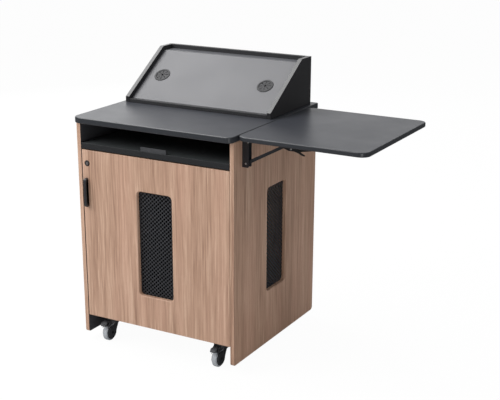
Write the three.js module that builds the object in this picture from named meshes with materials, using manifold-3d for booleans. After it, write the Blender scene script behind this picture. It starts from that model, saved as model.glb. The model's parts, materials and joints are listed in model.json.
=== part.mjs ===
// Mobile presentation lectern: a laminate cabinet on four swivel casters, with an open keyboard
// bay, a sloped equipment hutch on the worktop and a side shelf on folding brackets.
// Millimetres, +Z up, front towards -Y. Sizes below are in the cabinet's own frame: x = 0 on its
// centre line, y = 0 midway between its front and rear edges, z = 0 on the floor.
import * as THREE from 'three';
import { mergeVertices } from 'three/addons/utils/BufferGeometryUtils.js';
import Module from 'manifold-3d';

const wasm = await Module();
wasm.setup();

// ---------------------------------------------------------------- driving dimensions

const BOARD = 19; // laminated board, all carcass panels
const GAP = 0.3; // clearance between pieces that are cut by or slid past each other
const REAR_REVEAL = 2.3; // beside the inset rear panel
const DOOR_LOCK_REVEAL = 3.8; // beside the inset door, on its lock side
const DOOR_HINGE_REVEAL = 1.2;

// cabinet
const CABINET_WIDTH = 762;
const CABINET_DEPTH = 730;
const SIDE_BOTTOM = 36;
const WORKTOP_TOP = 1012;
const WORKTOP_THICKNESS = 25;
const WORKTOP_WIDTH = 768;
const WORKTOP_FRONT = -394;
const WORKTOP_BACK = 377;
const WORKTOP_LEFT_RADIUS = 40; // front corners
const WORKTOP_RIGHT_RADIUS = 22;
const WORKTOP_BACK_RADIUS = 8;
const SIDE_CORNER_RADIUS = 15;
const BOTTOM_PANEL_Z = 115;
const DOOR_BOTTOM = 119.5;
const DOOR_TOP = 869.5;
const MID_PANEL_TOP = 869;
const CABLE_GAP = 45; // left open behind the middle panel

// ventilation openings and the perforated sheets behind them
const VENT_WIDTH = 172;
const VENT_HEIGHT = 460;
const VENT_RADIUS = 18;
const VENT_LAP = 14; // how far a sheet laps past its opening
const GRILLE_THICKNESS = 1.5;

// keyboard tray
const TRAY_BOTTOM = 874;
const TRAY_THICKNESS = 24;
const TRAY_DEPTH = 420;
const TRAY_FRONT_DEPTH = 24; // full-width strip that hides the slides
const TRAY_SIDE_CLEARANCE = 3;
const SLIDE_LENGTH = 390;
const SLIDE_HEIGHT = 20;
const SLIDE_WIDTH = 11.5;
const SLIDE_WALL = 1.5;

// hutch
const HUTCH_WIDTH = 725;
const HUTCH_FRONT = -30;
const HUTCH_BACK = 340;
const HUTCH_FRONT_HEIGHT = 25;
const HUTCH_HEIGHT = 208;
const HUTCH_SLOPE_END = 252; // y where the slope meets the flat top
const HUTCH_RECESS = 18; // face and ledge sit this far below the side panels' edges
const HUTCH_FACE_THICKNESS = 12;
const HUTCH_RAIL_HEIGHT = 16;
const GROMMET_X = [-268, 253];
const GROMMET_SLOPE_POSITION = 171; // from the foot of the slope
const GROMMET_FLANGE_RADIUS = 37;
const GROMMET_SLEEVE_RADIUS = 30;

// side shelf and its folding brackets
const SHELF_X = [386, 936];
const SHELF_Y = [-358, 268];
const SHELF_THICKNESS = 19;
const SHELF_RADIUS = 38;
const BRACKET_INSET = 70; // bracket centre line from the shelf's front and rear edges
const HINGE = { x: 407, z: 978 }; // pin that the shelf turns on
const STRUT_FOOT = { x: 397, z: 891 }; // pin at the foot of the wall leg
const STRUT_HEAD = { x: 570, z: 984 }; // sliding pin, shelf raised
const LEVER_RIVET = { x: 595, z: 974 };
const LEVER_RIVET_RADIUS = 2.5;
const LEG_BOTTOM = 875;
const LEG_TOP = 986;
const LEG_REACH = 411; // outer edge of the leg's flanges
const LEG_HALF_WIDTH = 12;
const ARM_HALF_WIDTH = 9.5;
const ARM_END = 705;
const ARM_LOWER_EDGE = 979;
const ARM_DEEP_EDGE = 966; // under the lever's rivet
const STRUT_HALF_WIDTH = 6;
const STRUT_HALF_DEPTH = 6;
const SHEET = 2; // bracket sheet metal
const PIN_RADIUS = 3;

// casters
const CASTER_X = 281;
const CASTER_FRONT_Y = -299;
const CASTER_REAR_Y = 299;
const WHEEL_RADIUS = 38;
const WHEEL_WIDTH = 24;
const CASTER_TRAIL = 26;
const FORK_TOP = 101;

// whole object: the footprint's centre becomes x = y = 0
const FOOTPRINT_CENTRE_X = (-WORKTOP_WIDTH / 2 + SHELF_X[1]) / 2;
const FOOTPRINT_CENTRE_Y = (WORKTOP_FRONT + WORKTOP_BACK) / 2;

// ---------------------------------------------------------------- derived values

const HALF_WIDTH = CABINET_WIDTH / 2;
const INNER = HALF_WIDTH - BOARD;
const FRONT = -CABINET_DEPTH / 2;
const BACK = CABINET_DEPTH / 2;
const SIDE_TOP = WORKTOP_TOP - WORKTOP_THICKNESS;
const DOOR_MIDDLE = (DOOR_BOTTOM + DOOR_TOP) / 2;
const SIDE_VENT_MIDDLE = DOOR_MIDDLE + 10;
const DOOR_LEFT = -INNER + DOOR_LOCK_REVEAL;
const DOOR_RIGHT = INNER - DOOR_HINGE_REVEAL;
const REAR_HALF_WIDTH = INNER - REAR_REVEAL;
const SHELF_UNDERSIDE = WORKTOP_TOP - SHELF_THICKNESS;
const HUTCH_SLOPE_LENGTH = Math.hypot(HUTCH_SLOPE_END - HUTCH_FRONT, HUTCH_HEIGHT - HUTCH_FRONT_HEIGHT);
const HUTCH_ANGLE = Math.atan2(HUTCH_HEIGHT - HUTCH_FRONT_HEIGHT, HUTCH_SLOPE_END - HUTCH_FRONT);
const LEDGE_TOP = WORKTOP_TOP + HUTCH_HEIGHT - HUTCH_RECESS;

// ---------------------------------------------------------------- materials

const finish = (color, roughness, metalness = 0) => ({ color, roughness, metalness });
const WOOD = finish(0xb8967f, 0.55);
const TOP_LAMINATE = finish(0x6a6c70, 0.4);
const BLACK_LAMINATE = finish(0x1d1e20, 0.5);
const GREY_LAMINATE = finish(0x9e9ea0, 0.5);
const BLACK_STEEL = finish(0x232325, 0.45, 0.6);
const GREY_STEEL = finish(0x4c4d50, 0.4, 0.8);
const BRIGHT_STEEL = finish(0xb4b6b8, 0.3, 1);
const BLACK_PLASTIC = finish(0x2b2c2e, 0.55);
const GREY_TREAD = finish(0xa5a8af, 0.7);

// ---------------------------------------------------------------- geometry helpers

// One closed body facing out, its shared corners merged.
function closed(geometry) {
  geometry.deleteAttribute('normal');
  geometry.deleteAttribute('uv');
  const merged = mergeVertices(geometry, 1e-4);
  if (signedVolume(merged) < 0) {
    const index = merged.index.array;
    for (let i = 0; i < index.length; i += 3) {
      [index[i], index[i + 1]] = [index[i + 1], index[i]];
    }
  }
  return merged;
}

function signedVolume(geometry) {
  const a = new THREE.Vector3();
  const b = new THREE.Vector3();
  const c = new THREE.Vector3();
  const { position } = geometry.attributes;
  const index = geometry.index.array;
  let volume = 0;
  for (let i = 0; i < index.length; i += 3) {
    a.fromBufferAttribute(position, index[i]);
    b.fromBufferAttribute(position, index[i + 1]);
    c.fromBufferAttribute(position, index[i + 2]);
    volume += a.dot(b.cross(c)) / 6;
  }
  return volume;
}

function toManifold(geometry) {
  return new wasm.Manifold(new wasm.Mesh({
    numProp: 3,
    vertProperties: new Float32Array(geometry.attributes.position.array),
    triVerts: new Uint32Array(geometry.index.array),
  }));
}

function fromManifold(manifold) {
  const mesh = manifold.getMesh();
  const geometry = new THREE.BufferGeometry();
  geometry.setAttribute('position', new THREE.BufferAttribute(new Float32Array(mesh.vertProperties), 3));
  geometry.setIndex(new THREE.BufferAttribute(new Uint32Array(mesh.triVerts), 1));
  return geometry;
}

// The first geometry with the others joined on.
function join(first, ...others) {
  return fromManifold(others.reduce((sum, other) => sum.add(toManifold(other)), toManifold(first)));
}

// The first geometry with the others cut away.
function cut(first, ...others) {
  return fromManifold(others.reduce((rest, other) => rest.subtract(toManifold(other)), toManifold(first)));
}

function box(x0, x1, y0, y1, z0, z1) {
  const geometry = closed(new THREE.BoxGeometry(x1 - x0, y1 - y0, z1 - z0));
  return geometry.translate((x0 + x1) / 2, (y0 + y1) / 2, (z0 + z1) / 2);
}

function extrude(shape, depth, curveSegments = 4) {
  return closed(new THREE.ExtrudeGeometry(shape, { depth, bevelEnabled: false, curveSegments }));
}

// Shapes drawn in (y, z), (x, z) or (x, y) and pushed along the remaining axis.
function alongX(shape, x0, x1, curveSegments) {
  const turn = new THREE.Matrix4().makeBasis(
    new THREE.Vector3(0, 1, 0),
    new THREE.Vector3(0, 0, 1),
    new THREE.Vector3(1, 0, 0),
  );
  return extrude(shape, x1 - x0, curveSegments).applyMatrix4(turn).translate(x0, 0, 0);
}

function alongY(shape, y0, y1, curveSegments) {
  return extrude(shape, y1 - y0, curveSegments).rotateX(Math.PI / 2).translate(0, y1, 0);
}

function alongZ(shape, z0, z1, curveSegments) {
  return extrude(shape, z1 - z0, curveSegments).translate(0, 0, z0);
}

function cylinder(radius, length, axis, [x, y, z], segments = 18) {
  const geometry = closed(new THREE.CylinderGeometry(radius, radius, length, segments));
  if (axis === 'x') geometry.rotateZ(Math.PI / 2);
  if (axis === 'z') geometry.rotateX(Math.PI / 2);
  return geometry.translate(x, y, z);
}

// A turned piece about the local Y axis; the profile is [radius, height] pairs.
function turned(profile, segments = 20) {
  return closed(new THREE.LatheGeometry(profile.map(([r, h]) => new THREE.Vector2(r, h)), segments));
}

// A rectangle whose four corners, from the lower left round to the upper left, have these radii.
function roundedRectangle(u0, u1, v0, v1, radii) {
  const [lowerLeft, lowerRight, upperRight, upperLeft] = radii;
  const shape = new THREE.Shape();
  shape.moveTo(u0 + lowerLeft, v0);
  shape.lineTo(u1 - lowerRight, v0);
  shape.absarc(u1 - lowerRight, v0 + lowerRight, lowerRight, -Math.PI / 2, 0);
  shape.lineTo(u1, v1 - upperRight);
  shape.absarc(u1 - upperRight, v1 - upperRight, upperRight, 0, Math.PI / 2);
  shape.lineTo(u0 + upperLeft, v1);
  shape.absarc(u0 + upperLeft, v1 - upperLeft, upperLeft, Math.PI / 2, Math.PI);
  shape.lineTo(u0, v0 + lowerLeft);
  shape.absarc(u0 + lowerLeft, v0 + lowerLeft, lowerLeft, Math.PI, Math.PI * 1.5);
  return shape;
}

function polygon(points) {
  return new THREE.Shape(points.map(([u, v]) => new THREE.Vector2(u, v)));
}

function ventOpening(middle, centreZ, lap = 0) {
  const halfWidth = VENT_WIDTH / 2 + lap;
  const halfHeight = VENT_HEIGHT / 2 + lap;
  const radii = Array(4).fill(lap > 0 ? 1 : VENT_RADIUS);
  const [left, right] = [middle - halfWidth, middle + halfWidth];
  return roundedRectangle(left, right, centreZ - halfHeight, centreZ + halfHeight, radii);
}

const root = new THREE.Group();
root.position.set(-FOOTPRINT_CENTRE_X, -FOOTPRINT_CENTRE_Y, 0);

function add(name, geometry, material, parent = root) {
  const mesh = new THREE.Mesh(geometry, new THREE.MeshStandardMaterial(material));
  mesh.name = name;
  parent.add(mesh);
  return mesh;
}

// ---------------------------------------------------------------- cabinet

const SIDES = [['left', -1], ['right', 1]];

function sidePanels() {
  for (const [side, sign] of SIDES) {
    const radii = [SIDE_CORNER_RADIUS * 0.7, SIDE_CORNER_RADIUS, 1, 1];
    const outline = roundedRectangle(FRONT, BACK, SIDE_BOTTOM, SIDE_TOP, radii);
    if (side === 'right') outline.holes.push(ventOpening(0, SIDE_VENT_MIDDLE));
    const x0 = sign < 0 ? -HALF_WIDTH : INNER;
    add(`${side}_side_panel`, alongX(outline, x0, x0 + BOARD), WOOD);
  }
  const sheet = ventOpening(0, SIDE_VENT_MIDDLE, VENT_LAP);
  add('right_grille', alongX(sheet, INNER - GRILLE_THICKNESS, INNER), BLACK_STEEL);
}

function carcass() {
  const behindDoor = FRONT + BOARD + 1;
  const aheadOfBack = BACK - BOARD - 1;
  add(
    'bottom_panel',
    box(-INNER, INNER, behindDoor, aheadOfBack, BOTTOM_PANEL_Z, BOTTOM_PANEL_Z + BOARD),
    BLACK_LAMINATE,
  );
  add(
    'middle_panel',
    box(-INNER, INNER, behindDoor, aheadOfBack - CABLE_GAP, MID_PANEL_TOP - BOARD, MID_PANEL_TOP),
    BLACK_LAMINATE,
  );
  add('rear_rail', box(-INNER, INNER, BACK - BOARD, BACK, DOOR_TOP + 3.5, SIDE_TOP), WOOD);
}

function worktop() {
  const halfWidth = WORKTOP_WIDTH / 2;
  const radii = [WORKTOP_LEFT_RADIUS, WORKTOP_RIGHT_RADIUS, WORKTOP_BACK_RADIUS, WORKTOP_BACK_RADIUS];
  const outline = roundedRectangle(-halfWidth, halfWidth, WORKTOP_FRONT, WORKTOP_BACK, radii);
  // cable slot inside the hutch's footprint
  const slotHalfWidth = 150;
  const slotY = [210, 270];
  outline.holes.push(roundedRectangle(-slotHalfWidth, slotHalfWidth, slotY[0], slotY[1], Array(4).fill(12)));
  add('worktop', alongZ(outline, SIDE_TOP, WORKTOP_TOP, 10), TOP_LAMINATE);
}

// ---------------------------------------------------------------- locks

const LOCK_BEZEL_RADIUS = 12.5;
const LOCK_BARREL_RADIUS = 9;
const LOCK_PLUG_RADIUS = 6;
const LOCK_BARREL_LENGTH = 30;
const CAM_LENGTH = 27;
const CAM_HALF_WIDTH = 6;
const CAM_THICKNESS = 2.5;

// A cam lock whose face looks along local -Y from the origin, its cam turned by camAngle from down.
function camLock(prefix, position, facing, camAngle) {
  const group = new THREE.Group();
  group.position.copy(position);
  if (facing > 0) group.rotation.z = Math.PI;
  root.add(group);
  const bezel = 2.5;
  const bore = LOCK_PLUG_RADIUS + GAP;
  const body = turned([
    [bore, -bezel],
    [LOCK_BEZEL_RADIUS - 1, -bezel],
    [LOCK_BEZEL_RADIUS, -bezel + 1],
    [LOCK_BEZEL_RADIUS, -GAP],
    [LOCK_BARREL_RADIUS, -GAP],
    [LOCK_BARREL_RADIUS, LOCK_BARREL_LENGTH],
    [bore, LOCK_BARREL_LENGTH],
    [bore, -bezel],
  ]);
  add(`${prefix}_lock_body`, body, BLACK_STEEL, group);
  const keyway = box(-0.8, 0.8, -bezel - 1, -bezel + 2, -3.5, 3.5);
  const plugLength = LOCK_BARREL_LENGTH + bezel + CAM_THICKNESS + 0.5;
  const plug = cylinder(LOCK_PLUG_RADIUS, plugLength, 'y', [0, plugLength / 2 - bezel, 0]);
  const cam = new THREE.Shape();
  cam.absarc(0, 0, CAM_HALF_WIDTH + 2, 0, Math.PI);
  cam.lineTo(-CAM_HALF_WIDTH, -CAM_LENGTH + 2);
  cam.lineTo(CAM_HALF_WIDTH, -CAM_LENGTH + 2);
  const camY = LOCK_BARREL_LENGTH + 0.5;
  const camPlate = alongY(cam, camY, camY + CAM_THICKNESS).rotateY(camAngle);
  add(`${prefix}_lock_plug`, cut(join(plug, camPlate), keyway), GREY_STEEL, group);
}

// ---------------------------------------------------------------- front door

const LOCK_X = -333;
const LOCK_Z = 812;
const PULL_X = -337;
const PULL_Z = [622, 748];
const PULL_PROJECTION = 20;
const PULL_WIDTH = 12;
const PULL_BAR = 8;
const HINGE_CUP_RADIUS = 17.5;
const HINGE_CUP_DEPTH = 11;
const HINGE_CUP_X = INNER - 24.3;
const HINGE_HEIGHTS = [['lower', 220], ['upper', 769]];

function frontDoor() {
  const outline = roundedRectangle(DOOR_LEFT, DOOR_RIGHT, DOOR_BOTTOM, DOOR_TOP, [1, 1, 1, 1]);
  outline.holes.push(ventOpening(0, DOOR_MIDDLE));
  const inside = FRONT + BOARD;
  const bores = [cylinder(LOCK_BARREL_RADIUS + GAP, BOARD * 2, 'y', [LOCK_X, FRONT + BOARD / 2, LOCK_Z])];
  for (const [, z] of HINGE_HEIGHTS) {
    const depth = HINGE_CUP_DEPTH + GAP;
    bores.push(cylinder(HINGE_CUP_RADIUS + GAP, depth * 2, 'y', [HINGE_CUP_X, inside, z]));
  }
  add('front_door', cut(alongY(outline, FRONT, inside), ...bores), WOOD);
  add(
    'front_grille',
    alongY(ventOpening(0, DOOR_MIDDLE, VENT_LAP), inside + GAP, inside + GAP + GRILLE_THICKNESS),
    BLACK_STEEL,
  );
  frontPull();
  camLock('front', new THREE.Vector3(LOCK_X, FRONT, LOCK_Z), -1, 0);
  const strike = box(-INNER, -INNER + 15, FRONT + 22, FRONT + 25, LOCK_Z - 16, LOCK_Z + 16);
  add('front_lock_strike', strike, GREY_STEEL);
  for (const [place, z] of HINGE_HEIGHTS) concealedHinge(place, z);
}

// Bow handle: a bar held off the door on two feet.
function frontPull() {
  const [z0, z1] = PULL_Z;
  const face = FRONT - GAP;
  const tip = FRONT - PULL_PROJECTION;
  const foot = 14;
  const corner = 10;
  const bow = new THREE.Shape();
  bow.moveTo(face, z0);
  bow.lineTo(tip + corner, z0);
  bow.absarc(tip + corner, z0 + corner, corner, -Math.PI / 2, -Math.PI, true);
  bow.lineTo(tip, z1 - corner);
  bow.absarc(tip + corner, z1 - corner, corner, Math.PI, Math.PI / 2, true);
  bow.lineTo(face, z1);
  bow.lineTo(face, z1 - foot);
  bow.lineTo(tip + PULL_BAR + 5, z1 - foot);
  bow.absarc(tip + PULL_BAR + 5, z1 - foot - 5, 5, Math.PI / 2, Math.PI);
  bow.lineTo(tip + PULL_BAR, z0 + foot + 5);
  bow.absarc(tip + PULL_BAR + 5, z0 + foot + 5, 5, Math.PI, Math.PI * 1.5);
  bow.lineTo(face, z0 + foot);
  add('front_door_pull', alongX(bow, PULL_X - PULL_WIDTH / 2, PULL_X + PULL_WIDTH / 2), GREY_STEEL);
}

// Concealed hinge: a cup let into the door's inner face and an arm screwed to the side panel.
function concealedHinge(place, z) {
  const inside = FRONT + BOARD;
  const wall = 1.5;
  const flange = 21;
  const cup = turned([
    [0, -HINGE_CUP_DEPTH],
    [HINGE_CUP_RADIUS, -HINGE_CUP_DEPTH],
    [HINGE_CUP_RADIUS, GAP],
    [flange, GAP],
    [flange, GAP + wall],
    [HINGE_CUP_RADIUS - wall, GAP + wall],
    [HINGE_CUP_RADIUS - wall, -HINGE_CUP_DEPTH + wall],
    [0, -HINGE_CUP_DEPTH + wall],
  ]);
  cup.translate(HINGE_CUP_X, inside, z);
  add(`hinge_cup_${place}`, cup, BRIGHT_STEEL);
  const arm = polygon([
    [INNER, inside + 14],
    [INNER, inside + 84],
    [INNER - 4, inside + 84],
    [INNER - 6, inside + 66],
    [INNER - 14, inside + 60],
    [INNER - 14, inside + 12],
    [INNER - 20, inside + 6],
    [INNER - 14, inside + 4],
    [INNER - 5, inside + 14],
  ]);
  add(`hinge_arm_${place}`, alongZ(arm, z - 9, z + 9), BRIGHT_STEEL);
}

// ---------------------------------------------------------------- removable rear panel

const REAR_LOCK_Z = 852;

function rearPanel() {
  const outline = roundedRectangle(-REAR_HALF_WIDTH, REAR_HALF_WIDTH, DOOR_BOTTOM, DOOR_TOP, [1, 1, 1, 1]);
  outline.holes.push(ventOpening(0, DOOR_MIDDLE));
  const inside = BACK - BOARD;
  const bore = cylinder(LOCK_BARREL_RADIUS + GAP, BOARD * 2, 'y', [0, BACK - BOARD / 2, REAR_LOCK_Z]);
  add('rear_panel', cut(alongY(outline, inside, BACK), bore), WOOD);
  add(
    'rear_grille',
    alongY(ventOpening(0, DOOR_MIDDLE, VENT_LAP), inside - GAP - GRILLE_THICKNESS, inside - GAP),
    BLACK_STEEL,
  );
  camLock('rear', new THREE.Vector3(0, BACK, REAR_LOCK_Z), 1, Math.PI);
}

// ---------------------------------------------------------------- keyboard tray

const TRAY_PULL_X = [-60, 64];
const TRAY_PULL_HEIGHT = 18;

function keyboardTray() {
  const top = TRAY_BOTTOM + TRAY_THICKNESS;
  const wide = INNER - TRAY_SIDE_CLEARANCE;
  const narrow = INNER - SLIDE_WIDTH - 1.5;
  const shoulder = FRONT + TRAY_FRONT_DEPTH;
  const board = polygon([
    [-wide, FRONT],
    [wide, FRONT],
    [wide, shoulder],
    [narrow, shoulder],
    [narrow, FRONT + TRAY_DEPTH],
    [-narrow, FRONT + TRAY_DEPTH],
    [-narrow, shoulder],
    [-wide, shoulder],
  ]);
  add('keyboard_tray', alongZ(board, TRAY_BOTTOM, top), BLACK_LAMINATE);

  // finger pull: a bent strip standing on the tray's front edge
  const lip = new THREE.Shape();
  const back = FRONT + 16;
  const sheet = 3;
  lip.moveTo(back, top);
  lip.lineTo(back, top + sheet);
  lip.lineTo(FRONT + 2 + sheet + 3, top + sheet);
  lip.absarc(FRONT + 2 + sheet + 3, top + sheet + 3, 3, -Math.PI / 2, -Math.PI, true);
  lip.lineTo(FRONT + 2 + sheet, top + TRAY_PULL_HEIGHT - 1.5);
  lip.absarc(FRONT + 2 + sheet / 2, top + TRAY_PULL_HEIGHT - 1.5, sheet / 2, 0, Math.PI);
  lip.lineTo(FRONT + 2, top);
  add('tray_pull', alongX(lip, TRAY_PULL_X[0], TRAY_PULL_X[1]), BLACK_PLASTIC);

  const middleZ = TRAY_BOTTOM + TRAY_THICKNESS / 2;
  const start = shoulder + 3;
  for (const [side, sign] of SIDES) {
    const wall = sign * INNER;
    const mouth = sign * (INNER - SLIDE_WIDTH);
    const web = sign * (INNER - SLIDE_WALL);
    const outer = SLIDE_HEIGHT / 2;
    const inner = outer - SLIDE_WALL;
    const channel = polygon([
      [wall, middleZ - outer],
      [wall, middleZ + outer],
      [mouth, middleZ + outer],
      [mouth, middleZ + inner],
      [web, middleZ + inner],
      [web, middleZ - inner],
      [mouth, middleZ - inner],
      [mouth, middleZ - outer],
    ]);
    add(`tray_slide_outer_${side}`, alongY(channel, start, start + SLIDE_LENGTH), GREY_STEEL);
    const barX = [sign * narrow, sign * (INNER - SLIDE_WALL - 1)];
    const bar = box(
      Math.min(...barX),
      Math.max(...barX),
      start,
      start + SLIDE_LENGTH,
      middleZ - inner + 1,
      middleZ + inner - 1,
    );
    add(`tray_slide_inner_${side}`, bar, BRIGHT_STEEL);
  }
}

// ---------------------------------------------------------------- hutch

// A point on the slope: distance up from its foot and depth below its line.
function onSlope(distance, depth) {
  const sin = Math.sin(HUTCH_ANGLE);
  const cos = Math.cos(HUTCH_ANGLE);
  return [
    HUTCH_FRONT + distance * cos + depth * sin,
    WORKTOP_TOP + HUTCH_FRONT_HEIGHT + distance * sin - depth * cos,
  ];
}

function hutch() {
  const half = HUTCH_WIDTH / 2;
  const inner = half - BOARD;
  const top = WORKTOP_TOP + HUTCH_HEIGHT;
  const profile = polygon([
    [HUTCH_FRONT, WORKTOP_TOP],
    [HUTCH_BACK, WORKTOP_TOP],
    [HUTCH_BACK, top],
    [HUTCH_SLOPE_END, top],
    [HUTCH_FRONT, WORKTOP_TOP + HUTCH_FRONT_HEIGHT],
  ]);
  for (const [side, sign] of SIDES) {
    const x0 = sign < 0 ? -half : inner;
    add(`hutch_${side}_side`, alongX(profile, x0, x0 + BOARD), BLACK_LAMINATE);
  }
  const inside = inner - GAP;
  add('hutch_back', box(-inside, inside, HUTCH_BACK - BOARD, HUTCH_BACK, WORKTOP_TOP, top), BLACK_LAMINATE);
  const railTop = WORKTOP_TOP + HUTCH_RAIL_HEIGHT;
  const rail = box(-inside, inside, HUTCH_FRONT, HUTCH_FRONT + BOARD, WORKTOP_TOP, railTop);
  add('hutch_rail', rail, BLACK_LAMINATE);

  // the face lies in the slope between the rail and the ledge, its foot cut plumb against the rail
  const foot = onSlope(12, HUTCH_RECESS);
  const head = onSlope(HUTCH_SLOPE_LENGTH - 4, HUTCH_RECESS);
  const headBack = onSlope(HUTCH_SLOPE_LENGTH - 4, HUTCH_RECESS + HUTCH_FACE_THICKNESS);
  const footBack = [foot[0], foot[1] - HUTCH_FACE_THICKNESS / Math.cos(HUTCH_ANGLE)];
  const faceSection = polygon([foot, footBack, headBack, head]);
  const axisTurn = Math.PI / 2 + HUTCH_ANGLE;
  const grommetBores = [];
  for (const x of GROMMET_X) {
    const [y, z] = onSlope(GROMMET_SLOPE_POSITION, HUTCH_RECESS);
    const bore = cylinder(GROMMET_SLEEVE_RADIUS + GAP, 60, 'y', [0, 0, 0], 24);
    grommetBores.push(bore.rotateX(axisTurn).translate(x, y, z));
  }
  add('hutch_face', cut(alongX(faceSection, -inside, inside), ...grommetBores), GREY_LAMINATE);

  const ledgeFront = headBack[0] + 3; // leaves a groove at the head of the face
  const ledge = box(-inside, inside, ledgeFront, HUTCH_BACK - BOARD - GAP, LEDGE_TOP - BOARD, LEDGE_TOP);
  add('hutch_ledge', ledge, TOP_LAMINATE);
  grommets(axisTurn);
}

// Cable grommets: a flange on the face, a sleeve through it and a slit membrane across the sleeve.
function grommets(axisTurn) {
  const flange = 2.5;
  const wall = 2.5;
  const sleeve = HUTCH_FACE_THICKNESS + 4;
  GROMMET_X.forEach((x, i) => {
    const [y, z] = onSlope(GROMMET_SLOPE_POSITION, HUTCH_RECESS - GAP);
    const ring = turned([
      [0, -2],
      [GROMMET_SLEEVE_RADIUS - wall, -2],
      [GROMMET_SLEEVE_RADIUS - wall, -sleeve],
      [GROMMET_SLEEVE_RADIUS, -sleeve],
      [GROMMET_SLEEVE_RADIUS, 0],
      [GROMMET_FLANGE_RADIUS, 0],
      [GROMMET_FLANGE_RADIUS - 1.5, flange],
      [GROMMET_SLEEVE_RADIUS - wall, flange],
      [GROMMET_SLEEVE_RADIUS - wall - 1, 1],
      [0, 1],
    ], 24);
    ring.rotateX(axisTurn).translate(x, y, z);
    add(i === 0 ? 'grommet_left' : 'grommet_right', ring, BLACK_PLASTIC);
  });
}

// ---------------------------------------------------------------- side shelf

function sideShelf() {
  const radii = Array(4).fill(SHELF_RADIUS);
  const outline = roundedRectangle(SHELF_X[0], SHELF_X[1], SHELF_Y[0], SHELF_Y[1], radii);
  add('shelf_panel', alongZ(outline, SHELF_UNDERSIDE, WORKTOP_TOP, 10), TOP_LAMINATE);
  foldingBracket('front', SHELF_Y[0] + BRACKET_INSET, -1);
  foldingBracket('rear', SHELF_Y[1] - BRACKET_INSET, 1);
}

// One folding bracket: a wall leg with both pins, an arm under the shelf, a strut between them and
// a release lever on the side named by outward (-1 front, 1 rear).
function foldingBracket(place, y, outward) {
  add(`bracket_leg_${place}`, wallLeg(y), GREY_STEEL);
  add(`bracket_arm_${place}`, arm(y), BLACK_STEEL);
  add(`bracket_strut_${place}`, strut(y), GREY_STEEL);
  add(`bracket_lever_${place}`, releaseLever(y, outward), BLACK_STEEL);
}

// Channel with its web on the side panel and both pins through its flanges.
function wallLeg(y) {
  const corner = 6;
  const side = new THREE.Shape();
  side.moveTo(HALF_WIDTH, LEG_BOTTOM);
  side.lineTo(LEG_REACH - corner, LEG_BOTTOM);
  side.absarc(LEG_REACH - corner, LEG_BOTTOM + corner, corner, -Math.PI / 2, 0);
  side.lineTo(LEG_REACH, LEG_TOP - corner);
  side.absarc(LEG_REACH - corner, LEG_TOP - corner, corner, 0, Math.PI / 2);
  side.lineTo(HALF_WIDTH, LEG_TOP);
  const block = alongY(side, y - LEG_HALF_WIDTH, y + LEG_HALF_WIDTH);
  const clear = LEG_HALF_WIDTH - SHEET;
  const channel = box(HALF_WIDTH + SHEET, LEG_REACH + 1, y - clear, y + clear, LEG_BOTTOM - 1, LEG_TOP + 1);
  const pinLength = LEG_HALF_WIDTH * 2 + 3;
  const pins = [HINGE, STRUT_FOOT].map((at) => cylinder(PIN_RADIUS, pinLength, 'y', [at.x, y, at.z], 12));
  return join(cut(block, channel), ...pins);
}

// Channel under the shelf, open downwards, with a lug round the hinge pin, deepest at the lever.
function arm(y) {
  const lug = 8;
  const start = HINGE.x - 7;
  const side = new THREE.Shape();
  side.moveTo(start, SHELF_UNDERSIDE);
  side.lineTo(start, HINGE.z);
  side.absarc(HINGE.x, HINGE.z, lug, Math.PI, Math.PI * 1.5);
  side.lineTo(HINGE.x + 6, HINGE.z - lug);
  side.lineTo(HINGE.x + 20, ARM_LOWER_EDGE);
  side.lineTo(LEVER_RIVET.x - 48, ARM_LOWER_EDGE);
  side.lineTo(LEVER_RIVET.x - 12, ARM_DEEP_EDGE);
  side.lineTo(LEVER_RIVET.x + 34, ARM_DEEP_EDGE);
  side.lineTo(ARM_END - 8, ARM_LOWER_EDGE);
  side.lineTo(ARM_END, ARM_LOWER_EDGE + 4);
  side.lineTo(ARM_END, SHELF_UNDERSIDE);
  const block = alongY(side, y - ARM_HALF_WIDTH, y + ARM_HALF_WIDTH);
  const clear = ARM_HALF_WIDTH - SHEET;
  const channel = box(start - 1, ARM_END + 1, y - clear, y + clear, HINGE.z - 20, SHELF_UNDERSIDE - SHEET);
  const bore = cylinder(PIN_RADIUS + 0.5, ARM_HALF_WIDTH * 4, 'y', [HINGE.x, y, HINGE.z], 12);
  const rivetAt = [LEVER_RIVET.x, y, LEVER_RIVET.z];
  const rivetBore = cylinder(LEVER_RIVET_RADIUS + GAP, ARM_HALF_WIDTH * 4, 'y', rivetAt, 12);
  return cut(block, channel, bore, rivetBore);
}

// Bar with rounded ends, bored for the foot pin.
function strut(y) {
  const run = STRUT_HEAD.x - STRUT_FOOT.x;
  const rise = STRUT_HEAD.z - STRUT_FOOT.z;
  const length = Math.hypot(run, rise);
  const bar = new THREE.Shape();
  bar.absarc(0, 0, STRUT_HALF_DEPTH + 1, Math.PI / 2, Math.PI * 1.5);
  bar.lineTo(length, -STRUT_HALF_DEPTH);
  bar.absarc(length, 0, STRUT_HALF_DEPTH, -Math.PI / 2, Math.PI / 2);
  const hole = new THREE.Path();
  hole.absarc(0, 0, PIN_RADIUS + 0.5, 0, Math.PI * 2);
  bar.holes.push(hole);
  return alongY(bar, -STRUT_HALF_WIDTH, STRUT_HALF_WIDTH)
    .rotateY(-Math.atan2(rise, run))
    .translate(STRUT_FOOT.x, y, STRUT_FOOT.z);
}

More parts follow.
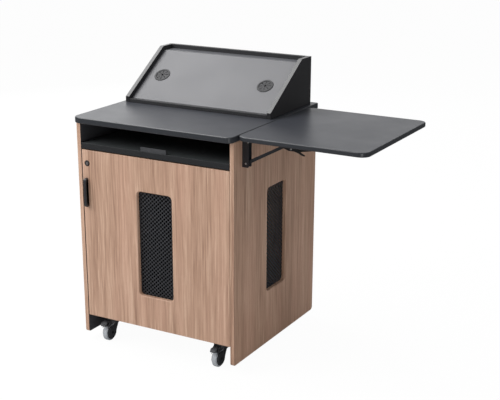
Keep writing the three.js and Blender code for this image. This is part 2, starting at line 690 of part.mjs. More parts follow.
// Flat lever beside the arm: a hook over the strut's head, a rivet and a turned-down finger tail.
function releaseLever(y, outward) {
  const nearFace = y + outward * (ARM_HALF_WIDTH + 0.5);
  const farFace = nearFace + outward * SHEET;
  const plate = new THREE.Shape();
  const { x, z } = LEVER_RIVET;
  plate.moveTo(x - 37, z + 3);
  plate.quadraticCurveTo(x - 20, z - 4, x, z - 6);
  plate.quadraticCurveTo(x + 22, z - 7, x + 38, z - 15);
  plate.quadraticCurveTo(x + 48, z - 21, x + 60, z - 21);
  plate.quadraticCurveTo(x + 63, z - 18, x + 59, z - 15);
  plate.quadraticCurveTo(x + 48, z - 12, x + 37, z - 3);
  plate.quadraticCurveTo(x + 20, z + 6, x, z + 7);
  plate.quadraticCurveTo(x - 18, z + 9, x - 37, z + 12);
  const body = alongY(plate, Math.min(nearFace, farFace), Math.max(nearFace, farFace));
  const rivetStart = y + outward * (ARM_HALF_WIDTH - SHEET - 1);
  const rivetEnd = farFace + outward * 1.2;
  const rivetMiddle = (rivetStart + rivetEnd) / 2;
  const shank = cylinder(LEVER_RIVET_RADIUS, Math.abs(rivetEnd - rivetStart), 'y', [x, rivetMiddle, z], 12);
  return join(body, shank);
}

// ---------------------------------------------------------------- casters

const HOOD_RADIUS = WHEEL_RADIUS + 3.5; // inside of the fender over the wheel
const HOOD_THICKNESS = 4;
const CHEEK_THICKNESS = 3.2;
const FORK_HALF_WIDTH = WHEEL_WIDTH / 2 + 1.2 + CHEEK_THICKNESS;
const AXLE_RADIUS = 4;
const HUB_RADIUS = 31;
const CAP_RADIUS = 32;
const CAP_BOTTOM = 80;
const COVER_RADIUS = 29.5; // round end of the cheek over the hub
const SKIRT_RADIUS = 38.5; // lower edge of the cheek's skirt, clear of the cover so the tread shows
const PEDAL_HALF_WIDTH = 11;
const PEDAL_PAD_HALF_WIDTH = 14.5;
const PEDAL_PIN_RADIUS = 2.5;
const PEDAL_PIVOT = { y: -38, z: 90 };

// A swivel caster built about its own swivel axis, its wheel trailing towards -Y.
function caster(place, x, y, hasBrake) {
  const group = new THREE.Group();
  group.position.set(x, y, 0);
  root.add(group);

  const plateRadii = Array(4).fill(6);
  const plate = alongZ(roundedRectangle(-36, 36, -30, 30, plateRadii), BOTTOM_PANEL_Z - 3, BOTTOM_PANEL_Z);
  const boss = turned([
    [0, FORK_TOP + 1],
    [20, FORK_TOP + 1],
    [23, FORK_TOP + 4],
    [23, BOTTOM_PANEL_Z - 2],
    [0, BOTTOM_PANEL_Z - 2],
  ]).rotateX(Math.PI / 2);
  add(`caster_plate_${place}`, join(plate, boss), BRIGHT_STEEL, group);

  add(`caster_fork_${place}`, fork(), BLACK_PLASTIC, group);

  const half = WHEEL_WIDTH / 2;
  const wheel = turned([
    [AXLE_RADIUS + GAP, -half + 2],
    [HUB_RADIUS - 2, -half + 2],
    [HUB_RADIUS, -half + 0.5],
    [WHEEL_RADIUS - 3, -half + 0.5],
    [WHEEL_RADIUS, -half + 4],
    [WHEEL_RADIUS, half - 4],
    [WHEEL_RADIUS - 3, half - 0.5],
    [HUB_RADIUS, half - 0.5],
    [HUB_RADIUS - 2, half - 2],
    [AXLE_RADIUS + GAP, half - 2],
    [AXLE_RADIUS + GAP, -half + 2],
  ], 28);
  wheel.rotateZ(Math.PI / 2).translate(0, -CASTER_TRAIL, WHEEL_RADIUS);
  add(`caster_wheel_${place}`, wheel, GREY_TREAD, group);

  if (hasBrake) add(`brake_pedal_${place}`, brakePedal(), BLACK_PLASTIC, group);
}

// Swivel cap, a fender over the wheel, two cheeks with round covers and the axle, moulded as one.
function fork() {
  const wheelY = -CASTER_TRAIL;
  const cap = turned([
    [0, CAP_BOTTOM],
    [CAP_RADIUS - 2, CAP_BOTTOM],
    [CAP_RADIUS, CAP_BOTTOM + 2],
    [CAP_RADIUS, FORK_TOP - 4],
    [CAP_RADIUS - 4, FORK_TOP],
    [0, FORK_TOP],
  ], 24).rotateX(Math.PI / 2);
  const { degToRad } = THREE.MathUtils;
  const fender = new THREE.Shape();
  const [from, to] = [degToRad(60), degToRad(125)];
  fender.absarc(wheelY, WHEEL_RADIUS, HOOD_RADIUS + HOOD_THICKNESS, from, to);
  fender.absarc(wheelY, WHEEL_RADIUS, HOOD_RADIUS, to, from, true);
  const shell = alongX(fender, -FORK_HALF_WIDTH, FORK_HALF_WIDTH, 6);
  const cheek = new THREE.Shape();
  cheek.absarc(wheelY, WHEEL_RADIUS, COVER_RADIUS, degToRad(60), degToRad(355));
  cheek.quadraticCurveTo(10, 54, CAP_RADIUS - 1, CAP_BOTTOM + 4);
  cheek.lineTo(-18, 96);
  cheek.lineTo(-38, 95);
  cheek.quadraticCurveTo(-52, 87, -54.5, 68);
  cheek.absarc(wheelY, WHEEL_RADIUS, SKIRT_RADIUS, degToRad(140), degToRad(66), true);
  const cheeks = [-1, 1].map((sign) => {
    const inner = sign * (FORK_HALF_WIDTH - CHEEK_THICKNESS);
    const outer = sign * FORK_HALF_WIDTH;
    return alongX(cheek, Math.min(inner, outer), Math.max(inner, outer), 5);
  });
  const axle = cylinder(AXLE_RADIUS, FORK_HALF_WIDTH * 2 + 3, 'x', [0, wheelY, WHEEL_RADIUS], 12);
  return join(cap, shell, ...cheeks, axle);
}

// Foot pedal on a pin between the cheeks, its wider pad ahead of the wheel.
function brakePedal() {
  const { y, z } = PEDAL_PIVOT;
  const hub = 4.5;
  const side = new THREE.Shape();
  side.absarc(y, z, hub, -Math.PI / 2, Math.PI / 2);
  side.quadraticCurveTo(y - 14, z + 8, y - 24, z + 3);
  side.lineTo(y - 27, z - 7);
  side.quadraticCurveTo(y - 16, z + 1, y, z - hub);
  const arm = alongX(side, -PEDAL_HALF_WIDTH, PEDAL_HALF_WIDTH, 5);
  const tip = new THREE.Shape();
  tip.moveTo(y - 24, z + 3);
  tip.quadraticCurveTo(y - 32, z - 1, y - 36, z - 5);
  tip.quadraticCurveTo(y - 38, z - 10, y - 34, z - 11);
  tip.lineTo(y - 27, z - 7);
  const pad = alongX(tip, -PEDAL_PAD_HALF_WIDTH, PEDAL_PAD_HALF_WIDTH, 5);
  const pin = cylinder(PEDAL_PIN_RADIUS, WHEEL_WIDTH + 1.6, 'x', [0, y, z], 10);
  return join(arm, pad, pin);
}

// ---------------------------------------------------------------- assembly

sidePanels();
carcass();
worktop();
frontDoor();
rearPanel();
keyboardTray();
hutch();
sideShelf();
caster('front_left', -CASTER_X, CASTER_FRONT_Y, true);
caster('front_right', CASTER_X, CASTER_FRONT_Y, true);
caster('rear_left', -CASTER_X, CASTER_REAR_Y, false);
caster('rear_right', CASTER_X, CASTER_REAR_Y, false);

export default root;
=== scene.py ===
import json
import math

import bmesh
import bpy
from mathutils import Matrix, Vector
from mathutils.geometry import tessellate_polygon

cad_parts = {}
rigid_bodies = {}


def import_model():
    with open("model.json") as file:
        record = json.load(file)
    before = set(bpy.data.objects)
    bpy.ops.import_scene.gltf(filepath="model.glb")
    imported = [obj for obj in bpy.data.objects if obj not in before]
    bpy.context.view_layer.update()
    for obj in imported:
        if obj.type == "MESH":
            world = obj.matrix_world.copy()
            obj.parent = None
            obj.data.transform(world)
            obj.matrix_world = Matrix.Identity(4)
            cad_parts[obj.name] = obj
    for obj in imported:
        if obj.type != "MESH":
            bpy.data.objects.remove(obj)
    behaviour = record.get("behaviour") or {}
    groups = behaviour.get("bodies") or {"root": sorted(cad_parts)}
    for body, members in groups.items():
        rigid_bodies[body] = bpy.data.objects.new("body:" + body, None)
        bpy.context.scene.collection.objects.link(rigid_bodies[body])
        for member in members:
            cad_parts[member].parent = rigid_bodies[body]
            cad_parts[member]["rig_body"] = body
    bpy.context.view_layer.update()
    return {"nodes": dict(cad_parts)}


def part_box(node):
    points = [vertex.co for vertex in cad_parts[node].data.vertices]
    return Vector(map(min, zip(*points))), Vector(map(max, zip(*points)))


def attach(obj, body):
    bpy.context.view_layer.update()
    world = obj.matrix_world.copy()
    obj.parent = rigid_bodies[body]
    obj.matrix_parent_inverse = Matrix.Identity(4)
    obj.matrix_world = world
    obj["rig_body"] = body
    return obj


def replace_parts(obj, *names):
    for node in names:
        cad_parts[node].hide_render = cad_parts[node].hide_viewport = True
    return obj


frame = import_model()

# Mobile presentation lectern. Pieces are drawn in millimetres in the cabinet's own frame (x = 0 on its
# centre line, y = 0 midway between front and rear, z = 0 on the floor) and moved to the row frame,
# in metres, when their mesh is made.

# ------------ driving dimensions

BOARD = 19
EDGE = 1.2  # rounding of the boards' edge banding
SIDE_EDGE = 1.8  # the side panels' rounding
MOULDING = 4.0  # rounding of the worktop's and the shelf's edges
MOULDING_STEPS = 5
GAP = 0.3

SIDE_PANEL_RADII = (10.5, 15, 1, 1)  # low front, low rear, high rear and high front corners
WORKTOP_RADII = (40, 22, 8, 8)  # left front, right front, right rear and left rear corners
DOOR_RADIUS = 1.5
SHELF_RADIUS = 38
CABLE_SLOT = ((-150, 150), (210, 270), 12)  # across, along and corner radius

VENT_HALF_WIDTH = 86
VENT_HALF_HEIGHT = 230
VENT_RADIUS = 18
VENT_EASING = 5.0  # rounding of the openings' outer edges
SIDE_VENT_RISE = 10  # the side opening sits this much higher than the door's
HOLE_PITCH = (19.0, 17.4)  # across and up, alternate rows shifted by half a pitch
HOLE_RADIUS = 5.7
HOLE_SIDES = 12

LOCK = (-333, 812)
REAR_LOCK = (0, 852)
LOCK_BORE = 9.3
LOCK_BARREL = 9
LOCK_BEZEL = 12.5
LOCK_DEPTH = 30
PLUG_BORE = 6.3
PLUG_RADIUS = 6
CAM_RADIUS = 8
CAM_TIP_RADIUS = 6
CAM_REACH = 22

PULL_BAR = 8
PULL_FOOT = 14
PULL_CORNER = 10

HINGE_HEIGHTS = {"lower": 220, "upper": 769}
CUP_POCKET_RADIUS = 17.8
CUP_POCKET_DEPTH = 11.3

HUTCH_FRONT = -30
HUTCH_SLOPE_END = 252
HUTCH_FRONT_HEIGHT = 25
HUTCH_HEIGHT = 208
HUTCH_RECESS = 18
HUTCH_FACE = 12
HUTCH_FACE_FOOT = 12  # distance up the slope
HUTCH_FACE_HEAD = 4  # short of the slope's upper end
GROMMET_X = {"left": -268, "right": 253}
GROMMET_UP = 171
GROMMET_RADIUS = 37
GROMMET_SLEEVE = 30
GROMMET_LEAVES = 8
GROMMET_SLIT = 5.5  # degrees
GROMMET_TURN = 11  # degrees

HINGE = (407, 978)
STRUT_FOOT = (397, 891)
STRUT_HEAD = (570, 984)
RIVET = (595, 974)
ARM_LOWER_EDGE = 979
ARM_DEEP_EDGE = 966  # under the lever's rivet
PIN_RADIUS = 3
PIN_BORE = 3.5
PIN_HEAD = 1.5
SHEET = 2

CASTER_X = 281
CASTER_Y = 299
WHEEL_RADIUS = 38
WHEEL_HALF = 12
TRAIL = 26
HUB_RADIUS = 31
CHEEK = 3.2
FORK_HALF = WHEEL_HALF + 1.2 + CHEEK
HOOD_INNER = WHEEL_RADIUS + 3.5
CAP_RADIUS = 32
CAP_BOTTOM = 80
COVER_RADIUS = 29.5  # round end of the cheek over the hub
SKIRT_RADIUS = 38.5  # lower edge of the cheek's skirt
PEDAL_PIN = (-38, 90)
PLATE_HALF = (36, 30)
PLATE_BOLT = (27, 22)

# ------------ frame

panel_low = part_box("left_side_panel")[0]
panel_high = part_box("right_side_panel")[1]
CENTRE_X = (panel_low.x + panel_high.x) / 2
CENTRE_Y = (panel_low.y + panel_high.y) / 2
TO_ROW = Matrix.Translation((CENTRE_X, CENTRE_Y, 0)) @ Matrix.Scale(0.001, 4)
FROM_ROW = TO_ROW.inverted()


def extent(node):
    """((x0, x1), (y0, y1), (z0, z1)) of a CAD node, in millimetres in the cabinet's frame."""
    low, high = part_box(node)
    low = FROM_ROW @ low
    high = FROM_ROW @ high
    return tuple((low[i], high[i]) for i in range(3))


WORKTOP_TOP = extent("worktop")[2][1]
DOOR_MIDDLE = sum(extent("front_door")[2]) / 2
FRONT = extent("front_door")[1][0]
HUTCH_SLOPE = math.hypot(HUTCH_SLOPE_END - HUTCH_FRONT, HUTCH_HEIGHT - HUTCH_FRONT_HEIGHT)
HUTCH_ANGLE = math.atan2(HUTCH_HEIGHT - HUTCH_FRONT_HEIGHT, HUTCH_SLOPE_END - HUTCH_FRONT)

# ------------ outlines


def arc(centre, radius, start, end, steps=12):
    """Points on an arc; the angles are in degrees."""
    points = []
    for i in range(steps + 1):
        angle = math.radians(start + (end - start) * i / steps)
        points.append((centre[0] + radius * math.cos(angle), centre[1] + radius * math.sin(angle)))
    return points


def circle(centre, radius, sides=40):
    return arc(centre, radius, 0, 360, sides)[:-1]


def curve(start, pull, end, steps=8):
    """Points on a quadratic curve after its start."""
    points = []
    for i in range(1, steps + 1):
        t = i / steps
        a, b, c = (1 - t) ** 2, 2 * t * (1 - t), t * t
        points.append(tuple(a * start[k] + b * pull[k] + c * end[k] for k in range(2)))
    return points


def fillet(corners, steps=8):
    """A polygon whose corners (u, v, radius) are rounded."""
    points = []
    count = len(corners)
    for i, (u, v, radius) in enumerate(corners):
        here = Vector((u, v))
        before = Vector(corners[i - 1][:2]) - here
        after = Vector(corners[(i + 1) % count][:2]) - here
        if radius <= 0:
            points.append((u, v))
            continue
        to_before = before.normalized()
        to_after = after.normalized()
        half = to_before.angle(to_after) / 2
        reach = radius / math.tan(half)
        middle = here + (to_before + to_after).normalized() * radius / math.sin(half)
        first = here + to_before * reach - middle
        last = here + to_after * reach - middle
        turn = first.angle_signed(last)
        for k in range(steps + 1):
            spoke = first.copy()
            spoke.rotate(Matrix.Rotation(-turn * k / steps, 2))
            points.append(tuple(middle + spoke))
    return points


def rounded(u, v, radii, steps=8):
    """A rectangle with corner radii, from the lower left round to the upper left."""
    if not isinstance(radii, (list, tuple)):
        radii = [radii] * 4
    corners = [(u[0], v[0]), (u[1], v[0]), (u[1], v[1]), (u[0], v[1])]
    return fillet([(*corner, radius) for corner, radius in zip(corners, radii)], steps)


def wound(loop, anticlockwise):
    area = sum(loop[i - 1][0] * loop[i][1] - loop[i][0] * loop[i - 1][1] for i in range(len(loop)))
    return list(loop) if (area > 0) == anticlockwise else list(reversed(loop))


def inset(loop, distance):
    """The closed loop moved to its left by distance, mitred at its corners."""
    out = []
    count = len(loop)
    for i in range(count):
        here = Vector(loop[i])
        along = (here - Vector(loop[i - 1])).normalized()
        onward = (Vector(loop[(i + 1) % count]) - here).normalized()
        mitre = Vector((-along.y - onward.y, along.x + onward.x))
        out.append(tuple(here + mitre * (distance * 2 / mitre.length_squared)))
    return out


# ------------ shells: (vertices, faces) in millimetres

AXES = {"x": (1, 2, 0), "y": (0, 2, 1), "z": (0, 1, 2)}


def oriented(points, axis):
    """(u, v, w) points with w along the axis, as (x, y, z)."""
    order = AXES[axis]
    out = []
    for point in points:
        place = [0, 0, 0]
        for value, k in zip(point, order):
            place[k] = value
        out.append(tuple(place))
    return out


def rounding(low, high, edges, steps):
    """(inset, w) of each ring from the low face to the high face; edges are the two faces' radii."""
    rings = []
    for face, inward, radius in ((low, 1, edges[0]), (high, -1, edges[1])):
        half = [(0, face)]
        if radius > 0:
            half = []
            for k in range(steps + 1):
                angle = math.pi / 2 * k / steps
                half.append((radius * (1 - math.sin(angle)), face + inward * radius * (1 - math.cos(angle))))
        rings += half if inward > 0 else reversed(half)
    return rings


def prism(outline, low, high, axis, holes=(), edge=EDGE, steps=3, pockets=()):
    """A plate with rounded edges. A hole is a loop, or (loop, (low face's rounding, high face's rounding)).
    A pocket is (loop, side, depth), side 0 sunk from the low face, 1 from the high."""
    points = []
    faces = []
    caps = [[], []]
    loops = [(wound(outline, True), (edge, edge))]
    for hole in holes:
        loop, edges = hole if isinstance(hole, tuple) else (hole, (edge, edge))
        loops.append((wound(loop, False), edges))
    for loop, edges in loops:
        starts = []
        rings = rounding(low, high, edges, steps)
        for distance, w in rings:
            starts.append(len(points))
            points += [(u, v, w) for u, v in (inset(loop, distance) if distance > 0 else loop)]
        count = len(loop)
        for a, b in zip(starts, starts[1:]):
            for i in range(count):
                j = (i + 1) % count
                faces.append((a + i, a + j, b + j, b + i))
        caps[0].append([starts[0] + i for i in range(count)])
        caps[1].append([starts[-1] + i for i in range(count)])
    for loop, side, depth in pockets:
        face = (low, high)[side]
        floor = face + depth * (1 if side == 0 else -1)
        count = len(loop)
        mouth = len(points)
        points += [(u, v, face) for u, v in wound(loop, False)]
        base = len(points)
        points += [(u, v, floor) for u, v in wound(loop, False)]
        for i in range(count):
            j = (i + 1) % count
            faces.append((mouth + i, mouth + j, base + j, base + i))
        faces.append(tuple(base + i for i in range(count)))
        caps[side].append([mouth + i for i in range(count)])
    for cap in caps:
        if len(cap) == 1:
            faces.append(tuple(cap[0]))
            continue
        flat = [i for ring in cap for i in ring]
        triangles = tessellate_polygon([[Vector((*points[i][:2], 0)) for i in ring] for ring in cap])
        faces += [tuple(flat[i] for i in triangle) for triangle in triangles]
    return oriented(points, axis), faces


def turned(profile, sides=48):
    """A closed body turned about local Z. The profile is (radius, height) pairs and closes on itself or
    on the axis."""
    points = []
    rings = []
    for radius, height in profile:
        if radius < 1e-6:
            rings.append([len(points)])
            points.append((0, 0, height))
            continue
        rings.append(list(range(len(points), len(points) + sides)))
        for k in range(sides):
            angle = 2 * math.pi * k / sides
            points.append((radius * math.cos(angle), radius * math.sin(angle), height))
    faces = []
    pairs = list(zip(rings, rings[1:]))
    if profile[0][0] > 1e-6:
        pairs.append((rings[-1], rings[0]))
    for a, b in pairs:
        for k in range(sides):
            j = (k + 1) % sides
            if len(a) > 1 and len(b) > 1:
                faces.append((a[k], a[j], b[j], b[k]))
            elif len(a) > 1:
                faces.append((a[k], a[j], b[0]))
            elif len(b) > 1:
                faces.append((a[0], b[j], b[k]))
    return points, faces


def both_halves(profile):
    """A profile from one end to its middle, followed by its mirror image."""
    return profile + [(radius, -height) for radius, height in reversed(profile)]


def moved(shell, matrix):
    points, faces = shell
    return [tuple(matrix @ Vector(point)) for point in points], faces


def facing(direction, origin=(0, 0, 0)):
    """Matrix that takes local Z to a direction and local 0 to an origin."""
    turn = Vector((0, 0, 1)).rotation_difference(Vector(direction)).to_matrix().to_4x4()
    return Matrix.Translation(origin) @ turn


def together(*shells):
    points = []
    faces = []
    for shell_points, shell_faces in shells:
        start = len(points)
        points += shell_points
        faces += [tuple(start + i for i in face) for face in shell_faces]
    return points, faces


# ------------ meshes and pieces


def mesh_of(name, shell):
    """A mesh in the row frame with its faces pointing out."""
    points, faces = shell
    mesh = bpy.data.meshes.new(name)
    mesh.from_pydata([TO_ROW @ Vector(point) for point in points], [], faces)
    work = bmesh.new()
    work.from_mesh(mesh)
    bmesh.ops.remove_doubles(work, verts=work.verts, dist=1e-6)
    bmesh.ops.recalc_face_normals(work, faces=work.faces)
    work.to_mesh(mesh)
    work.free()
    return mesh


def placed(name, data):
    """A new object in the scene."""
    made = bpy.data.objects.new(name, data)
    bpy.context.scene.collection.objects.link(made)
    return made


def combined(name, operation, first, *others):
    """The first shell with the others joined ("UNION") or cut away ("DIFFERENCE"), as a mesh."""
    base = placed(name, mesh_of(name, first))
    tools = []
    for other in others:
        tool = placed(name + ".tool", mesh_of(name, other))
        tools.append(tool)
        modifier = base.modifiers.new("boolean", "BOOLEAN")
        modifier.operation = operation
        modifier.solver = "EXACT"
        modifier.object = tool
    bpy.context.view_layer.update()
    graph = bpy.context.evaluated_depsgraph_get()
    result = bpy.data.meshes.new_from_object(base.evaluated_get(graph), depsgraph=graph)
    for made in [base, *tools]:
        bpy.data.objects.remove(made)
    return result


SHARP = math.radians(38)


def piece(name, mesh, material, node, bevel=0, inner=None):
    """Puts a mesh in the scene as a piece that rides on the CAD node's body.
    inner is (second material, test of a face's normal) for boards with a different inner face."""
    mesh.materials.clear()
    mesh.materials.append(material)
    if inner is not None:
        mesh.materials.append(inner[0])
        for face in mesh.polygons:
            face.material_index = 1 if inner[1](face.normal) else 0
    mesh.shade_smooth()
    mesh.set_sharp_from_angle(angle=SHARP)
    made = placed(name, mesh)
    if bevel > 0:
        bevelled = made.modifiers.new("edges", "BEVEL")
        bevelled.width = bevel / 1000
        bevelled.segments = 2
        bevelled.limit_method = "ANGLE"
        bevelled.angle_limit = SHARP
    weights = made.modifiers.new("normals", "WEIGHTED_NORMAL")
    weights.mode = "FACE_AREA"
    weights.weight = 80
    weights.keep_sharp = True
    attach(made, frame["nodes"][node]["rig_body"])
    return made


def stands_for(node, shell, material, bevel=0, inner=None):
    """A finer piece in the place of a CAD node."""
    mesh = shell if isinstance(shell, bpy.types.Mesh) else mesh_of(node, shell)
    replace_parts(piece(node + ".fine", mesh, material, node, bevel, inner), node)


# ------------ materials


def linear(colour, gain=1.0, lift=0.0):
    """An sRGB colour of 0 to 255 as linear light, scaled by a gain and raised by a lift."""
    light = [(c / 255 / 12.92) if c <= 10 else ((c / 255 + 0.055) / 1.055) ** 2.4 for c in colour]
    return tuple(c * gain + lift for c in light)


class Finish:
    """A material and short calls to build its nodes."""

    def __init__(self, name, slot):
        self.material = bpy.data.materials.new(name)
        self.material.use_nodes = True
        self.material["slot"] = slot
        self.tree = self.material.node_tree
        self.shader = next(n for n in self.tree.nodes if n.type == "BSDF_PRINCIPLED")
        self.place = self.add("ShaderNodeTexCoord").outputs["Object"]

    def add(self, kind, inputs=None, **settings):
        node = self.tree.nodes.new(kind)
        for key, value in settings.items():
            setattr(node, key, value)
        for key, value in (inputs or {}).items():
            self.feed(node, key, value)
        return node

    def feed(self, node, key, value):
        socket = node.inputs[key]
        if isinstance(value, bpy.types.NodeSocket):
            self.tree.links.new(value, socket)
        elif socket.type == "RGBA" and len(value) == 3:
            socket.default_value = (*value, 1)
        else:
            socket.default_value = value

    def set(self, **inputs):
        for key, value in inputs.items():
            self.feed(self.shader, key.replace("_", " "), value)

    def stretched(self, scale, offset=(0, 0, 0)):
        node = self.add("ShaderNodeMapping", {"Vector": self.place, "Scale": scale, "Location": offset})
        return node.outputs["Vector"]

    def noise(self, vector, scale, detail=2.0, roughness=0.5):
        inputs = {"Vector": vector, "Scale": scale, "Detail": detail, "Roughness": roughness}
        return self.add("ShaderNodeTexNoise", inputs).outputs["Fac"]

    def spread(self, value, low, high, out_low=0.0, out_high=1.0):
        inputs = {0: value, 1: low, 2: high, 3: out_low, 4: out_high}
        return self.add("ShaderNodeMapRange", inputs, clamp=True).outputs[0]

    def sum(self, a, b, operation="ADD"):
        return self.add("ShaderNodeMath", {0: a, 1: b}, operation=operation).outputs[0]

    def ramp(self, value, stops):
        node = self.add("ShaderNodeValToRGB", {"Fac": value})
        elements = node.color_ramp.elements
        while len(elements) < len(stops):
            elements.new(0.5)
        for element, (position, colour) in zip(elements, stops):
            element.position = position
            element.color = (*linear(colour), 1)
        return node.outputs["Color"]

    def mix(self, factor, a, b):
        node = self.add("ShaderNodeMix", data_type="RGBA")
        self.feed(node, 0, factor)
        self.feed(node, 6, a)
        self.feed(node, 7, b)
        return node.outputs[2]

    def bump(self, height, depth, strength):
        """Relief of depth millimetres."""
        inputs = {"Height": height, "Distance": depth / 1000, "Strength": strength}
        return self.add("ShaderNodeBump", inputs).outputs["Normal"]

    def wear(self, radius):
        """1 on convex edges, 0 on flats."""
        soft = self.add("ShaderNodeBevel", {"Radius": radius / 1000}, samples=4).outputs["Normal"]
        hard = self.add("ShaderNodeNewGeometry").outputs["Normal"]
        dot = self.add("ShaderNodeVectorMath", {0: soft, 1: hard}, operation="DOT_PRODUCT").outputs["Value"]
        return self.spread(self.sum(1.0, dot, "SUBTRACT"), 0.02, 0.25)


def wood(name, slot):
    """Straight-grained light walnut laminate, grain upright."""
    f = Finish(name, slot)
    sway = f.noise(f.stretched((1, 1, 1)), 2.3, 2)
    drift = f.sum(f.sum(sway, 0.5, "SUBTRACT"), 0.02, "MULTIPLY")
    split = f.add("ShaderNodeSeparateXYZ", {0: f.place})
    swayed = f.add(
        "ShaderNodeCombineXYZ",
        {0: f.sum(split.outputs[0], drift), 1: f.sum(split.outputs[1], drift), 2: split.outputs[2]},
    ).outputs[0]

    def grain(across, along, scale, detail, roughness=0.55):
        node = f.add("ShaderNodeMapping", {"Vector": swayed, "Scale": (across, across, along)})
        return f.noise(node.outputs["Vector"], scale, detail, roughness)

    broad = grain(1, 0.035, 26, 2)
    medium = grain(1, 0.025, 120, 3)
    fine = grain(1, 0.02, 260, 3, 0.65)
    pores = grain(1, 0.03, 900, 2, 0.7)
    tone = f.sum(f.sum(broad, 0.26, "MULTIPLY"), f.sum(medium, 0.42, "MULTIPLY"))
    tone = f.sum(tone, f.sum(fine, 0.32, "MULTIPLY"))
    colour = f.ramp(tone, [
        (0.38, (146, 112, 91)), (0.46, (170, 135, 113)), (0.52, (182, 147, 124)), (0.60, (199, 166, 143)),
    ])
    pinkish = f.noise(f.stretched((1, 1, 0.08), (3, 5, 1)), 11, 1)
    colour = f.mix(f.spread(pinkish, 0.45, 0.65, 0, 0.3), colour, linear((194, 152, 130)))
    pore = f.spread(pores, 0.60, 0.72)
    colour = f.mix(f.sum(pore, 0.32, "MULTIPLY"), colour, linear((128, 92, 72)))
    f.set(Base_Color=colour)
    f.set(Roughness=f.spread(f.sum(pore, fine), 0.3, 1.3, 0.42, 0.62))
    relief = f.sum(f.sum(fine, 0.6, "MULTIPLY"), f.sum(pore, -1.0, "MULTIPLY"))
    f.set(Normal=f.bump(relief, 0.06, 0.5))
    f.set(IOR=1.48)
    return f.material


def laminate(name, slot, colour, lighter, rough, depth=0.04, index=1.5):
    """Satin high-pressure laminate with a fine pebble."""
    f = Finish(name, slot)
    pebble = f.noise(f.place, 900, 3, 0.6)
    cloud = f.noise(f.place, 7, 3)
    fleck = f.noise(f.place, 2600, 1)
    factor = f.spread(f.sum(pebble, f.sum(fleck, 0.5, "MULTIPLY")), 0.45, 1.1)
    f.set(Base_Color=f.mix(factor, linear(colour), linear(lighter)))
    smear = f.sum(f.sum(cloud, 0.12, "MULTIPLY"), f.sum(pebble, 0.08, "MULTIPLY"))
    f.set(Roughness=f.sum(smear, rough - 0.1))
    f.set(Normal=f.bump(pebble, depth, 0.45))
    f.set(IOR=index)
    return f.material


def coated_steel(name, slot, colour, bare, rough=0.42):
    """Powder-coated sheet, rubbed bright along its edges."""
    f = Finish(name, slot)
    peel = f.noise(f.place, 650, 2)
    scuff = f.noise(f.stretched((1, 1, 1), (2, 0, 4)), 140, 4, 0.7)
    edge = f.sum(f.wear(0.8), f.spread(scuff, 0.42, 0.62), "MULTIPLY")
    worn = f.sum(edge, 0.55, "MULTIPLY")
    cloud = f.noise(f.place, 30, 2)
    base = f.mix(f.spread(cloud, 0.3, 0.7, 0, 0.35), linear(colour), linear(colour, 1.5))
    f.set(Base_Color=f.mix(worn, base, linear(bare)), Metallic=f.sum(worn, 0.8, "MULTIPLY"))
    f.set(Roughness=f.spread(peel, 0.3, 0.7, rough - 0.06, rough + 0.08))
    f.set(Normal=f.bump(peel, 0.05, 0.5))
    return f.material


def plated_steel(name, slot, colour):
    """Zinc-plated steel with fine rolling marks."""
    f = Finish(name, slot)
    marks = f.noise(f.stretched((1, 1, 0.08)), 1500, 2, 0.6)
    bloom = f.noise(f.place, 60, 3)
    f.set(Base_Color=f.mix(f.spread(bloom, 0.3, 0.7), linear(colour), linear(colour, 0.72)), Metallic=1.0)
    f.set(Roughness=f.spread(f.sum(marks, bloom), 0.6, 1.4, 0.23, 0.44))
    f.set(Normal=f.bump(marks, 0.02, 0.3))
    return f.material


def moulded(name, slot, colour, lighter, rough=0.5, grain=520, depth=0.09):
    """Moulded plastic with a spark-eroded grain, rubbed paler along its edges."""
    f = Finish(name, slot)
    cells = f.add("ShaderNodeTexVoronoi", {"Vector": f.place, "Scale": grain}, feature="SMOOTH_F1")
    texture = f.sum(cells.outputs["Distance"], f.noise(f.place, grain * 2, 2))
    cloud = f.noise(f.place, 45, 3)
    base = f.mix(f.spread(cloud, 0.3, 0.7), linear(colour), linear(lighter))
    edge = f.sum(f.wear(1.0), 0.35, "MULTIPLY")
    f.set(Base_Color=f.mix(edge, base, linear(lighter, 1.8, 0.01)))
    f.set(Roughness=f.spread(texture, 0.3, 1.2, rough - 0.06, rough + 0.12))
    f.set(Normal=f.bump(texture, depth, 0.5))
    return f.material


WOOD = wood("light_walnut_laminate", "wood_laminate")
TOP = laminate("slate_laminate", "top_laminate", (46, 48, 54), (58, 60, 66), 0.36)
TOP_EDGE = laminate("slate_edge_band", "top_laminate", (44, 46, 50), (52, 54, 58), 0.30, 0.01)
# The ledge is the worktop's slate laminate painted lighter: painted sheen standing in for the light that its
# recess and front rim keep off it.
LEDGE_PAINTED_SHEEN = laminate("ledge_painted_sheen_laminate", "top_laminate", (80, 81, 85), (90, 91, 95), 0.36)
BLACK = laminate("black_laminate", "black_laminate", (42, 42, 44), (50, 50, 52), 0.42, index=1.4)
LINING = laminate("lining_laminate", "black_laminate", (64, 64, 67), (72, 72, 75), 0.5, index=1.4)
BLACK_EDGE = laminate("black_edge_band", "black_laminate", (28, 28, 30), (36, 36, 38), 0.26, 0.02)
